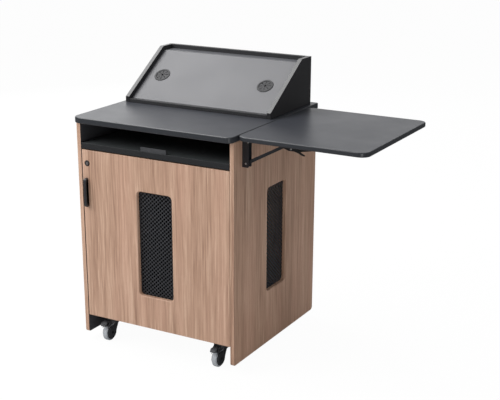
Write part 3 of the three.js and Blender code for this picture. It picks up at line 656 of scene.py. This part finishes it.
# The tray's top is its laminate painted lighter: painted light standing in for the light that the worktop's
# overhang keeps out of the bay.
TRAY_TOP_PAINTED_LIGHT = laminate("tray_top_painted_light_laminate", "black_laminate", (62, 65, 66), (72, 75, 76), 0.45)
TRAY = laminate("tray_laminate", "black_laminate", (32, 33, 35), (40, 41, 43), 0.5, index=1.4)
GREY = laminate("grey_laminate", "grey_laminate", (68, 68, 72), (76, 76, 80), 0.40)
DARK_SHEET = coated_steel("perforated_steel", "black_steel", (54, 55, 59), (96, 96, 98), 0.5)
BLACK_STEEL = coated_steel("black_powder_coat", "black_steel", (20, 20, 22), (120, 120, 122))
PULL_STEEL = coated_steel("pull_grey", "grey_steel", (40, 41, 44), (120, 120, 122), 0.36)
GREY_STEEL = coated_steel("grey_powder_coat", "grey_steel", (70, 71, 75), (150, 150, 152))
LEG_STEEL = coated_steel("bracket_grey", "grey_steel", (34, 36, 40), (140, 140, 142), 0.36)
LOCK_BLACK = coated_steel("lock_black", "black_steel", (34, 32, 32), (120, 118, 116), 0.3)
LOCK_GREY = coated_steel("lock_grey", "grey_steel", (96, 92, 92), (170, 168, 166), 0.3)
BRIGHT = plated_steel("zinc_plated_steel", "bright_steel", (200, 201, 203))
PLASTIC = moulded("black_moulded_plastic", "black_plastic", (52, 53, 56), (64, 65, 68))
MEMBRANE = moulded("grommet_rubber", "black_plastic", (48, 48, 50), (58, 58, 60), 0.6, 800, 0.05)
TREAD = moulded("grey_tread_rubber", "caster_tread", (158, 162, 167), (170, 174, 178), 0.6, 700, 0.05)

# ------------ cabinet boards


def vent(middle, height, outer):
    """Opening with an eased outer edge; outer is 0 if the outer face is the low one, 1 if it is the high."""
    u = (middle - VENT_HALF_WIDTH, middle + VENT_HALF_WIDTH)
    v = (height - VENT_HALF_HEIGHT, height + VENT_HALF_HEIGHT)
    edges = (VENT_EASING, EDGE) if outer == 0 else (EDGE, VENT_EASING)
    return rounded(u, v, VENT_RADIUS, 10), edges


def rim(direction):
    """Test of a face's normal: true on the edge band round a board whose faces look along the direction."""
    return lambda normal: abs(normal.dot(Vector(direction))) < 0.96


def board(node, axis, material, radii=1.0, holes=(), edge=EDGE, steps=3, pockets=(), inner=None):
    """A flat board that fills the box of its CAD node."""
    box = extent(node)
    u, v, w = (box[k] for k in AXES[axis])
    outline = rounded(u, v, radii, 8)
    stands_for(node, prism(outline, *w, axis, holes, edge, steps, pockets), material, inner=inner)


def grille(node, axis):
    """A perforated sheet: a lozenge with a round hole repeated over it, and a plain margin."""
    box = extent(node)
    (u0, u1), (v0, v1), (w0, w1) = (box[k] for k in AXES[axis])
    centre = ((u0 + u1) / 2, (v0 + v1) / 2)
    half = (HOLE_PITCH[0] / 2, HOLE_PITCH[1] / 2)
    columns = int(((u1 - u0) / 2 - 0.5) / half[0] - 1)
    rows = int(((v1 - v0) / 2 - 0.5) / half[1] - 1)
    corners = [(half[0], 0), (0, half[1]), (-half[0], 0), (0, -half[1]), (half[0], 0)]
    lozenge = []
    for k in range(HOLE_SIDES):
        side, step = divmod(k * 4, HOLE_SIDES)
        share = step / HOLE_SIDES
        a, b = corners[side], corners[side + 1]
        lozenge.append((a[0] + (b[0] - a[0]) * share, a[1] + (b[1] - a[1]) * share))
    index = {}
    points = []
    holes = set()

    def number(u, v):
        key = (round(u * 100), round(v * 100))
        if key not in index:
            index[key] = len(points)
            points.append((u, v))
        return index[key]

    faces = []
    for i in range(-columns, columns + 1):
        for j in range(-rows, rows + 1):
            if (i + j) % 2:
                continue
            at = (centre[0] + i * half[0], centre[1] + j * half[1])
            hole = [number(*point) for point in circle(at, HOLE_RADIUS, HOLE_SIDES)]
            outer = [number(at[0] + du, at[1] + dv) for du, dv in lozenge]
            holes.update(hole)
            for k in range(HOLE_SIDES):
                n = (k + 1) % HOLE_SIDES
                faces.append((hole[k], outer[k], outer[n], hole[n]))
    used = {}  # the faces' edges, in order
    for face in faces:
        for a, b in zip(face, face[1:] + face[:1]):
            used[(a, b)] = True
    follow = {a: b for a, b in used if (b, a) not in used and a not in holes}
    start = next(iter(follow))
    border = [start]
    while follow[border[-1]] != start:
        border.append(follow[border[-1]])
    frame_ring = [number(*point) for point in [(u0, v0), (u1, v0), (u1, v1), (u0, v1)]]
    flat = frame_ring + border
    loops = [[Vector((*points[i], 0)) for i in ring] for ring in (frame_ring, border)]
    faces += [tuple(flat[i] for i in triangle) for triangle in tessellate_polygon(loops)]
    count = len(points)
    solid = [(u, v, w0) for u, v in points] + [(u, v, w1) for u, v in points]
    walls = list(faces) + [tuple(count + i for i in reversed(face)) for face in faces]
    for k in range(4):
        a, b = frame_ring[k], frame_ring[(k + 1) % 4]
        walls.append((a, b, count + b, count + a))
    for a, b in used:
        if a in holes and b in holes:
            walls.append((a, b, count + b, count + a))
    stands_for(node, (oriented(solid, axis), walls), DARK_SHEET)


for side, sign, holes in (("left", -1, []), ("right", 1, [vent(0, DOOR_MIDDLE + SIDE_VENT_RISE, 1)])):
    board(
        f"{side}_side_panel", "x", WOOD, SIDE_PANEL_RADII, holes, edge=SIDE_EDGE,
        inner=(LINING, lambda normal, sign=sign: normal.x * sign < -0.95),
    )
grille("right_grille", "x")
board("bottom_panel", "z", LINING)
board("middle_panel", "z", LINING)
board("rear_rail", "y", WOOD)
board(
    "worktop", "z", TOP, WORKTOP_RADII, [rounded(*CABLE_SLOT)], MOULDING, MOULDING_STEPS,
    inner=(TOP_EDGE, rim((0, 0, 1))),
)
cup_x = sum(extent("hinge_cup_lower")[0]) / 2
door_cups = []
for height in HINGE_HEIGHTS.values():
    door_cups.append((circle((cup_x, height), CUP_POCKET_RADIUS), 1, CUP_POCKET_DEPTH))
door_holes = [vent(0, DOOR_MIDDLE, 0), circle(LOCK, LOCK_BORE)]
board("front_door", "y", WOOD, DOOR_RADIUS, door_holes, pockets=door_cups)
board("rear_panel", "y", WOOD, DOOR_RADIUS, [vent(0, DOOR_MIDDLE, 1), circle(REAR_LOCK, LOCK_BORE)])
grille("front_grille", "y")
grille("rear_grille", "y")

# ------------ locks, pull and hinges


def cam_lock(prefix, at, direction, cam_turn):
    """A cam lock whose face looks along direction (-1 towards -Y)."""
    place = facing((0, direction, 0), at)
    body = turned([
        (PLUG_BORE, 1.6), (7.2, 2.2), (8.5, 2.5), (10.8, 2.5), (11.9, 2.1), (LOCK_BEZEL, 1.2),
        (LOCK_BEZEL, 0.3), (LOCK_BARREL, 0.3), (LOCK_BARREL, -LOCK_DEPTH), (PLUG_BORE, -LOCK_DEPTH),
    ])
    stands_for(f"{prefix}_lock_body", moved(body, place), LOCK_BLACK)
    keyhole = rounded((-0.8, 0.8), (-3.6, 3.6), 0.7, 4)
    cylinder = circle((0, 0), PLUG_RADIUS, 40)
    plug = prism(cylinder, -LOCK_DEPTH - 3.5, 2.2, "z", edge=0.5, pockets=[(keyhole, 1, 3)])
    cam = [
        (-CAM_RADIUS, 0), *arc((0, 0), CAM_RADIUS, 180, 0, 16)[1:-1], (CAM_RADIUS, 0),
        (CAM_TIP_RADIUS, -CAM_REACH), *arc((0, -CAM_REACH), CAM_TIP_RADIUS, 0, -180, 10)[1:-1],
        (-CAM_TIP_RADIUS, -CAM_REACH),
    ]
    near = at[1] - direction * (LOCK_DEPTH + 0.5)
    far = at[1] - direction * (LOCK_DEPTH + 3)
    plate = prism(cam, near, far, "y", edge=0.4)
    turn = Matrix.Translation((at[0], 0, at[2])) @ Matrix.Rotation(cam_turn, 4, "Y")
    stands_for(f"{prefix}_lock_plug", together(moved(plug, place), moved(plate, turn)), LOCK_GREY)


cam_lock("front", (LOCK[0], FRONT, LOCK[1]), -1, 0)
cam_lock("rear", (REAR_LOCK[0], extent("rear_panel")[1][1], REAR_LOCK[1]), 1, math.pi)
board("front_lock_strike", "x", GREY_STEEL, 1.5, edge=0.6)


def bow_pull():
    """Bow handle: a bar held off the door on two feet."""
    (x0, x1), (tip, face), (z0, z1) = extent("front_door_pull")
    inside = tip + PULL_BAR
    low = z0 + PULL_FOOT
    high = z1 - PULL_FOOT
    outline = fillet([
        (face, z0, 0.8), (tip, z0, PULL_CORNER), (tip, z1, PULL_CORNER), (face, z1, 0.8),
        (face, high, 0.8), (inside, high, PULL_CORNER / 2), (inside, low, PULL_CORNER / 2), (face, low, 0.8),
    ], 10)
    stands_for("front_door_pull", prism(outline, x0, x1, "x", edge=2.4, steps=4), PULL_STEEL)


bow_pull()


def screw_head(at, direction, radius=3.6, height=1.6):
    """Pan head with a dished middle."""
    head = turned([
        (0, height * 0.55), (radius * 0.35, height * 0.95), (radius * 0.7, height * 0.75),
        (radius, height * 0.2), (radius, -0.6), (0, -0.6),
    ], 24)
    return moved(head, facing(direction, at))


def concealed_hinge(place, height):
    """A flanged cup in the door and an arm that hooks from it to the side panel."""
    cup = turned([
        (0, -11), (16.6, -11), (17.5, -10), (17.5, 0.3), (20.4, 0.3), (21, 0.7), (21, 1.2), (20.4, 1.8),
        (16.8, 1.8), (16, 1.2), (16, -9.5), (0, -9.5),
    ])
    inside = FRONT + BOARD
    at = (cup_x, inside, height)
    stands_for(f"hinge_cup_{place}", moved(cup, facing((0, 1, 0), at)), BRIGHT)
    wall = extent("right_side_panel")[0][0]
    arm = fillet([
        (wall, inside + 14, 1), (wall, inside + 84, 0.5), (wall - 4, inside + 84, 1.5),
        (wall - 6, inside + 66, 6), (wall - 14, inside + 60, 4), (wall - 14, inside + 12, 6),
        (wall - 20, inside + 6, 1.2), (wall - 14, inside + 4, 2), (wall - 5, inside + 14, 2),
    ], 5)
    shell = prism(arm, height - 9, height + 9, "z", edge=1.2)
    screws = [screw_head((wall - 12.9, inside + y, height), (-1, 0, 0)) for y in (24, 50)]
    stands_for(f"hinge_arm_{place}", together(shell, *screws), BRIGHT)


for place, height in HINGE_HEIGHTS.items():
    concealed_hinge(place, height)

# ------------ keyboard tray


def tray():
    (x0, x1), (front, back), z = extent("keyboard_tray")
    shoulder = front + 24
    narrow = extent("tray_slide_inner_right")[0][0]
    outline = fillet([
        (x0, front, 0.8), (x1, front, 0.8), (x1, shoulder, 1), (narrow, shoulder, 1), (narrow, back, 3),
        (-narrow, back, 3), (-narrow, shoulder, 1), (x0, shoulder, 1),
    ], 4)
    shell = prism(outline, *z, "z")
    # the up-facing faces get the painted-light copy of the tray laminate
    stands_for("keyboard_tray", shell, TRAY, inner=(TRAY_TOP_PAINTED_LIGHT, lambda normal: normal.z > 0.96))

    x, (lip_front, lip_back), (foot, tip) = extent("tray_pull")
    section = fillet([
        (lip_back, foot, 0.4), (lip_back, foot + 3, 1.2), (lip_front + 3, foot + 3, 3),
        (lip_front + 3, tip, 1.4), (lip_front, tip, 1.4), (lip_front, foot, 0.6),
    ], 6)
    stands_for("tray_pull", prism(section, *x, "x", edge=0.7), PLASTIC)
    for side in ("left", "right"):
        node = f"tray_slide_outer_{side}"
        (x0, x1), y, (z0, z1) = extent(node)
        wall, mouth = (x0, x1) if side == "left" else (x1, x0)
        web = wall + (1.5 if side == "left" else -1.5)
        channel = fillet([
            (wall, z0, 0.8), (wall, z1, 0.8), (mouth, z1, 0.3), (mouth, z1 - 1.5, 0.3),
            (web, z1 - 1.5, 0.5), (web, z0 + 1.5, 0.5), (mouth, z0 + 1.5, 0.3), (mouth, z0, 0.3),
        ], 3)
        stands_for(node, prism(channel, *y, "y", edge=0), GREY_STEEL)
        board(f"tray_slide_inner_{side}", "y", BRIGHT, 2, edge=0.4)


tray()

# ------------ hutch


def on_slope(distance, depth):
    """(y, z) of a point a distance up the slope and a depth below its line."""
    sin, cos = math.sin(HUTCH_ANGLE), math.cos(HUTCH_ANGLE)
    y = HUTCH_FRONT + distance * cos + depth * sin
    return y, WORKTOP_TOP + HUTCH_FRONT_HEIGHT + distance * sin - depth * cos


def hutch():
    top = WORKTOP_TOP + HUTCH_HEIGHT
    back = extent("hutch_back")[1][1]
    profile = fillet([
        (HUTCH_FRONT, WORKTOP_TOP, 0.8), (back, WORKTOP_TOP, 0.8), (back, top, 1.5),
        (HUTCH_SLOPE_END, top, 4), (HUTCH_FRONT, WORKTOP_TOP + HUTCH_FRONT_HEIGHT, 3),
    ], 6)
    for side in ("left", "right"):
        node = f"hutch_{side}_side"
        shell = prism(profile, *extent(node)[0], "x")
        stands_for(node, shell, BLACK, inner=(BLACK_EDGE, rim((1, 0, 0))))
    board("hutch_back", "y", BLACK)
    board("hutch_rail", "y", BLACK)
    # the ledge gets the slate laminate with painted sheen
    board("hutch_ledge", "z", LEDGE_PAINTED_SHEEN)

    # the face, drawn flat as (x, distance up, depth below) and laid into the slope with a plumb foot
    x = extent("hutch_face")[0]
    bores = [circle((bore_x, GROMMET_UP), GROMMET_SLEEVE + GAP, 48) for bore_x in GROMMET_X.values()]
    outline = rounded(x, (HUTCH_FACE_FOOT, HUTCH_SLOPE - HUTCH_FACE_HEAD), 0.8, 4)
    points, faces = prism(outline, HUTCH_RECESS, HUTCH_RECESS + HUTCH_FACE, "z", bores, edge=0.8)
    laid = []
    for u, distance, depth in points:
        if distance < HUTCH_FACE_FOOT + 1:
            distance -= (depth - HUTCH_RECESS) * math.tan(HUTCH_ANGLE)
        laid.append((u, *on_slope(distance, depth)))
    stands_for("hutch_face", (laid, faces), GREY)


def petal(start, end, inner, outer, low, high):
    """One leaf of the grommet's slit membrane, slightly domed towards the middle."""
    outline = [*arc((0, 0), outer, start, end, 6), *arc((0, 0), inner, end, start, 3)]
    points, faces = prism(outline, low, high, "z", edge=0.5, steps=2)
    domed = []
    for u, v, w in points:
        share = 1 - math.hypot(u, v) / outer
        domed.append((u, v, w + 1.1 * math.sin(share * math.pi / 2)))
    return domed, faces


def grommets():
    normal = (0, -math.sin(HUTCH_ANGLE), math.cos(HUTCH_ANGLE))
    leaf_angle = 360 / GROMMET_LEAVES
    for side, x in GROMMET_X.items():
        y, z = on_slope(GROMMET_UP, HUTCH_RECESS - GAP)
        place = facing(normal, (x, y, z))
        ring = turned([
            (GROMMET_SLEEVE, 0), (GROMMET_RADIUS - 0.3, 0), (GROMMET_RADIUS, 0.5),
            (GROMMET_RADIUS - 0.6, 1.5), (GROMMET_RADIUS - 2, 2.3), (GROMMET_RADIUS - 4, 2.6),
            (GROMMET_RADIUS - 6.5, 2.5), (GROMMET_SLEEVE - 1.5, 1.9), (GROMMET_SLEEVE - 2.4, 0.6),
            (GROMMET_SLEEVE - 2.5, -16), (GROMMET_SLEEVE - 0.8, -16), (GROMMET_SLEEVE, -15),
        ], 64)
        shells = [ring]
        for k in range(GROMMET_LEAVES):
            start = k * leaf_angle + GROMMET_SLIT / 2
            end = start + leaf_angle - GROMMET_SLIT
            shells.append(petal(start, end, 4.6, GROMMET_SLEEVE - 2.6, -1.2, 0.6))
        turn = place @ Matrix.Rotation(math.radians(GROMMET_TURN), 4, "Z")
        stands_for(f"grommet_{side}", moved(together(*shells), turn), MEMBRANE)


hutch()
grommets()

# ------------ side shelf and folding brackets


def box_shell(x, y, z, edge=0):
    return prism(rounded(x, y, 0), *z, "z", edge=edge, steps=2)


def bar(radius, at, direction, length, sides=28):
    """A pin with softened ends, centred at a point."""
    half = length / 2
    soft = min(0.5, radius / 3)
    profile = both_halves([(0, -half), (radius - soft, -half), (radius, -half + soft)])
    return moved(turned(profile, sides), facing(direction, at))


def wall_leg(node):
    (x0, x1), (y0, y1), (z0, z1) = extent(node)
    y0 += PIN_HEAD
    y1 -= PIN_HEAD
    middle = (y0 + y1) / 2
    side_view = fillet([(x0, z0, 0.5), (x1, z0, 6), (x1, z1, 6), (x0, z1, 0.5)], 6)
    solid = prism(side_view, y0, y1, "y", edge=0)
    hollow = box_shell((x0 + SHEET, x1 + 5), (y0 + SHEET, y1 - SHEET), (z0 - 5, z1 + 5))
    mesh = combined(node, "DIFFERENCE", solid, hollow)
    stands_for(node, mesh, LEG_STEEL, bevel=0.9)
    for number, (x, z) in enumerate((HINGE, STRUT_FOOT)):
        heads = []
        for direction, face in ((-1, y0), (1, y1)):
            dome = turned([(0, PIN_HEAD), (1.8, 1.35), (3.2, 0.9), (4.0, 0.1), (4.0, -0.2), (0, -0.2)], 28)
            heads.append(moved(dome, facing((0, direction, 0), (x, face, z))))
        shank = bar(PIN_RADIUS, (x, middle, z), (0, 1, 0), y1 - y0)
        piece(f"{node}_pin_{number}", mesh_of(node, together(shank, *heads)), BRIGHT, node)
    for number, z in enumerate((z0 + 42, z1 - 30)):
        head = screw_head((x0 + SHEET, middle, z), (1, 0, 0), 4.0, 1.8)
        piece(f"{node}_screw_{number}", mesh_of(node, head), BRIGHT, node)


def arm_piece(node):
    (x0, x1), (y0, y1), (_, z1) = extent(node)
    middle = (y0 + y1) / 2
    hinge_x, hinge_z = HINGE
    rivet_x = RIVET[0]
    side_view = [
        (x0, z1), (x0, hinge_z), *arc(HINGE, 7.6, 200, 270, 6), (hinge_x + 6, hinge_z - 8),
        (hinge_x + 20, ARM_LOWER_EDGE), (rivet_x - 48, ARM_LOWER_EDGE), (rivet_x - 12, ARM_DEEP_EDGE),
        (rivet_x + 34, ARM_DEEP_EDGE), (x1 - 8, ARM_LOWER_EDGE), (x1, ARM_LOWER_EDGE + 4), (x1, z1),
    ]
    solid = prism(side_view, y0, y1, "y", edge=0)
    inside = box_shell((x0 - 5, x1 + 5), (y0 + SHEET, y1 - SHEET), (hinge_z - 30, z1 - SHEET))
    bore = bar(PIN_BORE, (hinge_x, middle, hinge_z), (0, 1, 0), 60)
    mesh = combined(node, "DIFFERENCE", solid, inside, bore)
    stands_for(node, mesh, BLACK_STEEL, bevel=0.4)


def strut_piece(node):
    run, rise = STRUT_HEAD[0] - STRUT_FOOT[0], STRUT_HEAD[1] - STRUT_FOOT[1]
    length = math.hypot(run, rise)
    outline = [*arc((0, 0), 7, 90, 270, 14), *arc((length, 0), 6, -90, 90, 14)]
    _, (y0, y1), _ = extent(node)
    shell = prism(outline, y0, y1, "y", [circle((0, 0), PIN_BORE, 24)], edge=1.6, steps=3)
    tilt = Matrix.Rotation(-math.atan2(rise, run), 4, "Y")
    place = Matrix.Translation((STRUT_FOOT[0], 0, STRUT_FOOT[1])) @ tilt
    stands_for(node, moved(shell, place), LEG_STEEL)


def lever_piece(node, outward):
    _, y, _ = extent(node)
    x, z = RIVET
    near = min(y, key=lambda value: value * outward)
    far = max(y, key=lambda value: value * outward)
    plate_near = near + outward * 3.5
    plate_far = far - outward * 1.2
    outline = [(x - 37, z + 3)]
    for pull, end in (  # offsets from the rivet: along the lower edge to the handle's tip, and back above
        ((-20, -4), (0, -6)), ((22, -7), (38, -15)), ((48, -21), (60, -21)), ((63, -18), (59, -15)),
        ((48, -12), (37, -3)), ((20, 6), (0, 7)), ((-18, 9), (-37, 12)),
    ):
        outline += curve(outline[-1], (x + pull[0], z + pull[1]), (x + end[0], z + end[1]))
    low, high = sorted((plate_near, plate_far))
    stands_for(node, prism(outline, low, high, "y", edge=0.7), BLACK_STEEL)
    dome = turned([
        (0, 1.2), (1.8, 1.1), (3.4, 0.6), (4.2, 0), (4.2, -0.3), (2.5, -0.3), (2.5, -4.6), (0, -4.6),
    ], 28)
    mesh = mesh_of(node, moved(dome, facing((0, outward, 0), (x, plate_far, z))))
    piece(f"{node}_rivet", mesh, BRIGHT, node)


board(
    "shelf_panel", "z", TOP, SHELF_RADIUS, edge=MOULDING, steps=MOULDING_STEPS,
    inner=(TOP_EDGE, rim((0, 0, 1))),
)
for place, outward in (("front", -1), ("rear", 1)):
    wall_leg(f"bracket_leg_{place}")
    arm_piece(f"bracket_arm_{place}")
    strut_piece(f"bracket_strut_{place}")
    lever_piece(f"bracket_lever_{place}", outward)

# ------------ casters


def fork():
    """Shells of the fork: its cap, the hood over the wheel and a cheek on each side."""
    cap = turned([
        (0, CAP_BOTTOM), (CAP_RADIUS - 3, CAP_BOTTOM), (CAP_RADIUS - 0.8, CAP_BOTTOM + 0.8),
        (CAP_RADIUS, CAP_BOTTOM + 3), (CAP_RADIUS, 95), (CAP_RADIUS - 0.6, 97.6), (CAP_RADIUS - 2.2, 99.8),
        (CAP_RADIUS - 5, 101), (0, 101),
    ], 64)
    outer = arc((-TRAIL, WHEEL_RADIUS), HOOD_INNER + 4, 60, 125, 18)
    inner = arc((-TRAIL, WHEEL_RADIUS), HOOD_INNER, 125, 60, 18)
    hood = prism([*outer, *inner], -FORK_HALF, FORK_HALF, "x", edge=1.2)
    centre = (-TRAIL, WHEEL_RADIUS)
    outline = arc(centre, COVER_RADIUS, 60, 355, 40)
    outline += curve(outline[-1], (10, 54), (CAP_RADIUS - 1, CAP_BOTTOM + 4))
    outline += [(-18, 96), (-38, 95)]
    outline += curve(outline[-1], (-52, 87), (-54.5, 68))
    outline += arc(centre, SKIRT_RADIUS, 140, 66, 14)
    shells = [cap, hood]
    for side in (-1, 1):
        low, high = sorted((side * (FORK_HALF - CHEEK), side * FORK_HALF))
        shells.append(prism(outline, low, high, "x", edge=1.1))
    return shells


def wheel():
    """Tread and hub turned about local Z; ribs between the hub's rim and its boss."""
    face = -WHEEL_HALF
    lip = HUB_RADIUS - 2.5
    boss = 9
    tread = turned(both_halves([
        (HUB_RADIUS, face + 0.6), (HUB_RADIUS + 3, face + 0.5), (WHEEL_RADIUS - 2.6, face + 1.2),
        (WHEEL_RADIUS - 0.9, face + 2.6), (WHEEL_RADIUS - 0.2, face + 4.6), (WHEEL_RADIUS, face + 8),
    ]), 72)
    hub = turned(both_halves([
        (4.3, face + 1), (boss - 1, face + 1), (boss, face + 2), (boss + 1, -3), (lip - 1, -3),
        (lip, face + 2), (lip + 0.6, face + 1.2), (HUB_RADIUS, face + 1.2),
    ]), 72)
    ribs = []
    for k in range(6):
        rib = box_shell((boss - 1, lip + 0.5), (-1.1, 1.1), (face + 2.4, -face - 2.4), 0.5)
        ribs.append(moved(rib, Matrix.Rotation(math.radians(60 * k), 4, "Z")))
    return tread, together(hub, *ribs)


def pedal():
    """Brake pedal on its pin: a curved arm and a broad tip with ribs across it."""
    y, z = PEDAL_PIN
    outline = arc((y, z), 4.5, -90, 90, 10)
    outline += curve(outline[-1], (y - 14, z + 8), (y - 24, z + 3))
    outline += [(y - 27, z - 7)]
    outline += curve(outline[-1], (y - 16, z + 1), (y, z - 4.5))[:-1]
    arm = prism(outline, -11, 11, "x", edge=1.2, steps=3)
    tip = [(y - 22, z + 3.9), *curve((y - 22, z + 3.9), (y - 32, z - 1), (y - 36, z - 5), 8)]
    tip += curve(tip[-1], (y - 38, z - 10), (y - 34, z - 11), 6)
    tip += [(y - 26.5, z - 7)]
    points, faces = prism(tip, -14.5, 14.5, "x", edge=2.0, steps=4)
    narrowed = []
    for px, py, pz in points:
        share = max(0.0, (y - 24 - py) / 14)
        narrowed.append((px * (1 - 0.22 * share * share), py, pz))
    ribs = []
    for k in range(3):
        rib_y = y - 27 - 3 * k
        rib_z = z + 2.0 - 2.1 * k
        ribs.append(bar(0.8, (0, rib_y, rib_z), (1, 0, 0), 19, 12))
    pin = bar(2.5, (0, y, z), (1, 0, 0), 25.6, 20)
    return together(arm, (narrowed, faces), pin, *ribs)


def caster(place, x, y, brake):
    spot = Matrix.Translation((x, y, 0))
    bottom = extent("bottom_panel")[2][0]
    bolts = [(sx * PLATE_BOLT[0], sy * PLATE_BOLT[1]) for sx in (-1, 1) for sy in (-1, 1)]
    holes = [circle(bolt, 3.6, 20) for bolt in bolts]
    outline = rounded((-PLATE_HALF[0], PLATE_HALF[0]), (-PLATE_HALF[1], PLATE_HALF[1]), 6)
    plate = prism(outline, bottom - 3, bottom, "z", holes, edge=0.6)
    boss = turned([(0, 102), (20, 102), (22, 103), (23, 105), (23, bottom - 2.5), (0, bottom - 2.5)], 56)
    screws = [screw_head((*bolt, bottom - 3), (0, 0, -1), 5.2, 2.6) for bolt in bolts]
    stands_for(f"caster_plate_{place}", moved(together(plate, boss, *screws), spot), BRIGHT)

    node = f"caster_fork_{place}"
    shells = [moved(shell, spot) for shell in fork()]
    stands_for(node, combined(node, "UNION", *shells), PLASTIC)
    nuts = []
    for direction in (-1, 1):
        at = (x + direction * FORK_HALF, y - TRAIL, WHEEL_RADIUS)
        hexagon = prism(circle((0, 0), 6.2, 6), -0.2, 1.4, "z", edge=0.5, steps=2)
        stud = turned([(0, 1.5), (2.6, 1.5), (3.2, 1.0), (3.2, -0.2), (0, -0.2)], 24)
        nuts += [moved(hexagon, facing((direction, 0, 0), at)), moved(stud, facing((direction, 0, 0), at))]
    axle = bar(4, (x, y - TRAIL, WHEEL_RADIUS), (1, 0, 0), FORK_HALF * 2)
    piece(f"caster_axle_{place}", mesh_of(node, together(axle, *nuts)), BLACK_STEEL, node)

    node = f"caster_wheel_{place}"
    at = facing((1, 0, 0), (x, y - TRAIL, WHEEL_RADIUS))
    tread, hub = wheel()
    stands_for(node, moved(tread, at), TREAD)
    piece(f"caster_hub_{place}", mesh_of(node, moved(hub, at)), PLASTIC, node)

    if brake:
        stands_for(f"brake_pedal_{place}", moved(pedal(), spot), PLASTIC)


for end, sign_y in (("front", -1), ("rear", 1)):
    for side, sign_x in (("left", -1), ("right", 1)):
        caster(f"{end}_{side}", sign_x * CASTER_X, sign_y * CASTER_Y, end == "front")

# ------------ studio


def shader_node(tree, kind, **values):
    """A shader node; the values are its sockets' by name."""
    node = tree.nodes.new(kind)
    for key, value in values.items():
        node.inputs[key].default_value = value
    return node


def by_ray(tree, camera, glossy, other, output):
    """Shows one shader to camera rays, one to glossy rays and one to all others."""
    path = tree.nodes.new("ShaderNodeLightPath")
    shown = other
    for ray, shader in (("Is Glossy Ray", glossy), ("Is Camera Ray", camera)):
        blend = tree.nodes.new("ShaderNodeMixShader")
        tree.links.new(path.outputs[ray], blend.inputs[0])
        tree.links.new(shown.outputs[0], blend.inputs[1])
        tree.links.new(shader.outputs[0], blend.inputs[2])
        shown = blend
    tree.links.new(shown.outputs[0], tree.nodes.new(output).inputs[0])


world = bpy.data.worlds.new("studio")
bpy.context.scene.world = world
world.use_nodes = True
sky = world.node_tree
sky.nodes.clear()
seen = shader_node(sky, "ShaderNodeBackground", Color=(1, 1, 1, 1), Strength=1.0)
ambient = shader_node(sky, "ShaderNodeBackground", Color=(0.97, 0.985, 1, 1), Strength=0.42)
mirrored = shader_node(sky, "ShaderNodeBackground", Strength=0.25)
by_ray(sky, seen, mirrored, ambient, "ShaderNodeOutputWorld")

paint = bpy.data.materials.new("floor_paint")
paint.use_nodes = True
coat = paint.node_tree
coat.nodes.clear()
pale = coat.nodes.new("ShaderNodeAddShader")
shade = shader_node(coat, "ShaderNodeBsdfDiffuse", Color=(0.035, 0.035, 0.035, 1))
glow = shader_node(coat, "ShaderNodeEmission", Strength=0.965)
coat.links.new(shade.outputs[0], pale.inputs[0])
coat.links.new(glow.outputs[0], pale.inputs[1])
dull = shader_node(coat, "ShaderNodeBsdfDiffuse", Color=(0.78, 0.78, 0.78, 1))
dark = shader_node(coat, "ShaderNodeBsdfDiffuse", Color=(0.15, 0.15, 0.15, 1))
by_ray(coat, pale, dark, dull, "ShaderNodeOutputMaterial")

FLOOR_REACH = 40
floor_mesh = bpy.data.meshes.new("floor")
floor_corners = [(x * FLOOR_REACH, y * FLOOR_REACH, 0) for x, y in ((-1, -1), (1, -1), (1, 1), (-1, 1))]
floor_mesh.from_pydata(floor_corners, [], [(0, 1, 2, 3)])
floor_mesh.materials.append(paint)
placed("studio_floor", floor_mesh)

SUBJECT = Vector((CENTRE_X, CENTRE_Y, 0.65))


def softbox(name, direction, distance, size, radiance):
    """A square light aimed at the object; direction points from the object to the light."""
    lamp = bpy.data.lights.new(name, "AREA")
    lamp.shape = "SQUARE"
    lamp.size = size
    lamp.energy = radiance * math.pi * size * size
    made = placed(name, lamp)
    toward = Vector(direction).normalized()
    made.location = SUBJECT + toward * distance
    made.rotation_mode = "QUATERNION"
    made.rotation_quaternion = toward.to_track_quat("Z", "Y")


softbox("overhead", (-0.47, 0.07, 0.88), 4.0, 2.8, 5.3)
softbox("front", (-0.50, -0.60, 0.62), 5.0, 2.8, 6.6)
softbox("right_fill", (0.55, -0.15, 0.80), 4.5, 3.0, 0.75)
softbox("corner_glint", (0.60, -0.79, -0.02), 4.5, 0.6, 16.0)
softbox("rear_left_sheen", (-0.76, 0.58, 0.28), 5.5, 3.6, 1.25)
softbox("rear_gleam", (-0.27, 0.92, 0.28), 5.5, 2.4, 0.72)

# ------------ camera

camera_data = bpy.data.cameras.new("camera")
camera_data.sensor_width = 36
camera_data.lens = 80.74
camera_data.shift_x = 0.0089
camera_data.shift_y = 0.0931
camera_data.clip_start = 0.1
camera_data.clip_end = 200
camera = placed("camera", camera_data)
camera.location = (2.2209, -4.0223, 2.0235)
camera.rotation_euler = (math.radians(90 - 19.04), math.radians(-0.12), math.radians(29.41))
bpy.context.scene.camera = camera
bpy.context.scene.view_settings.view_transform = "Standard"
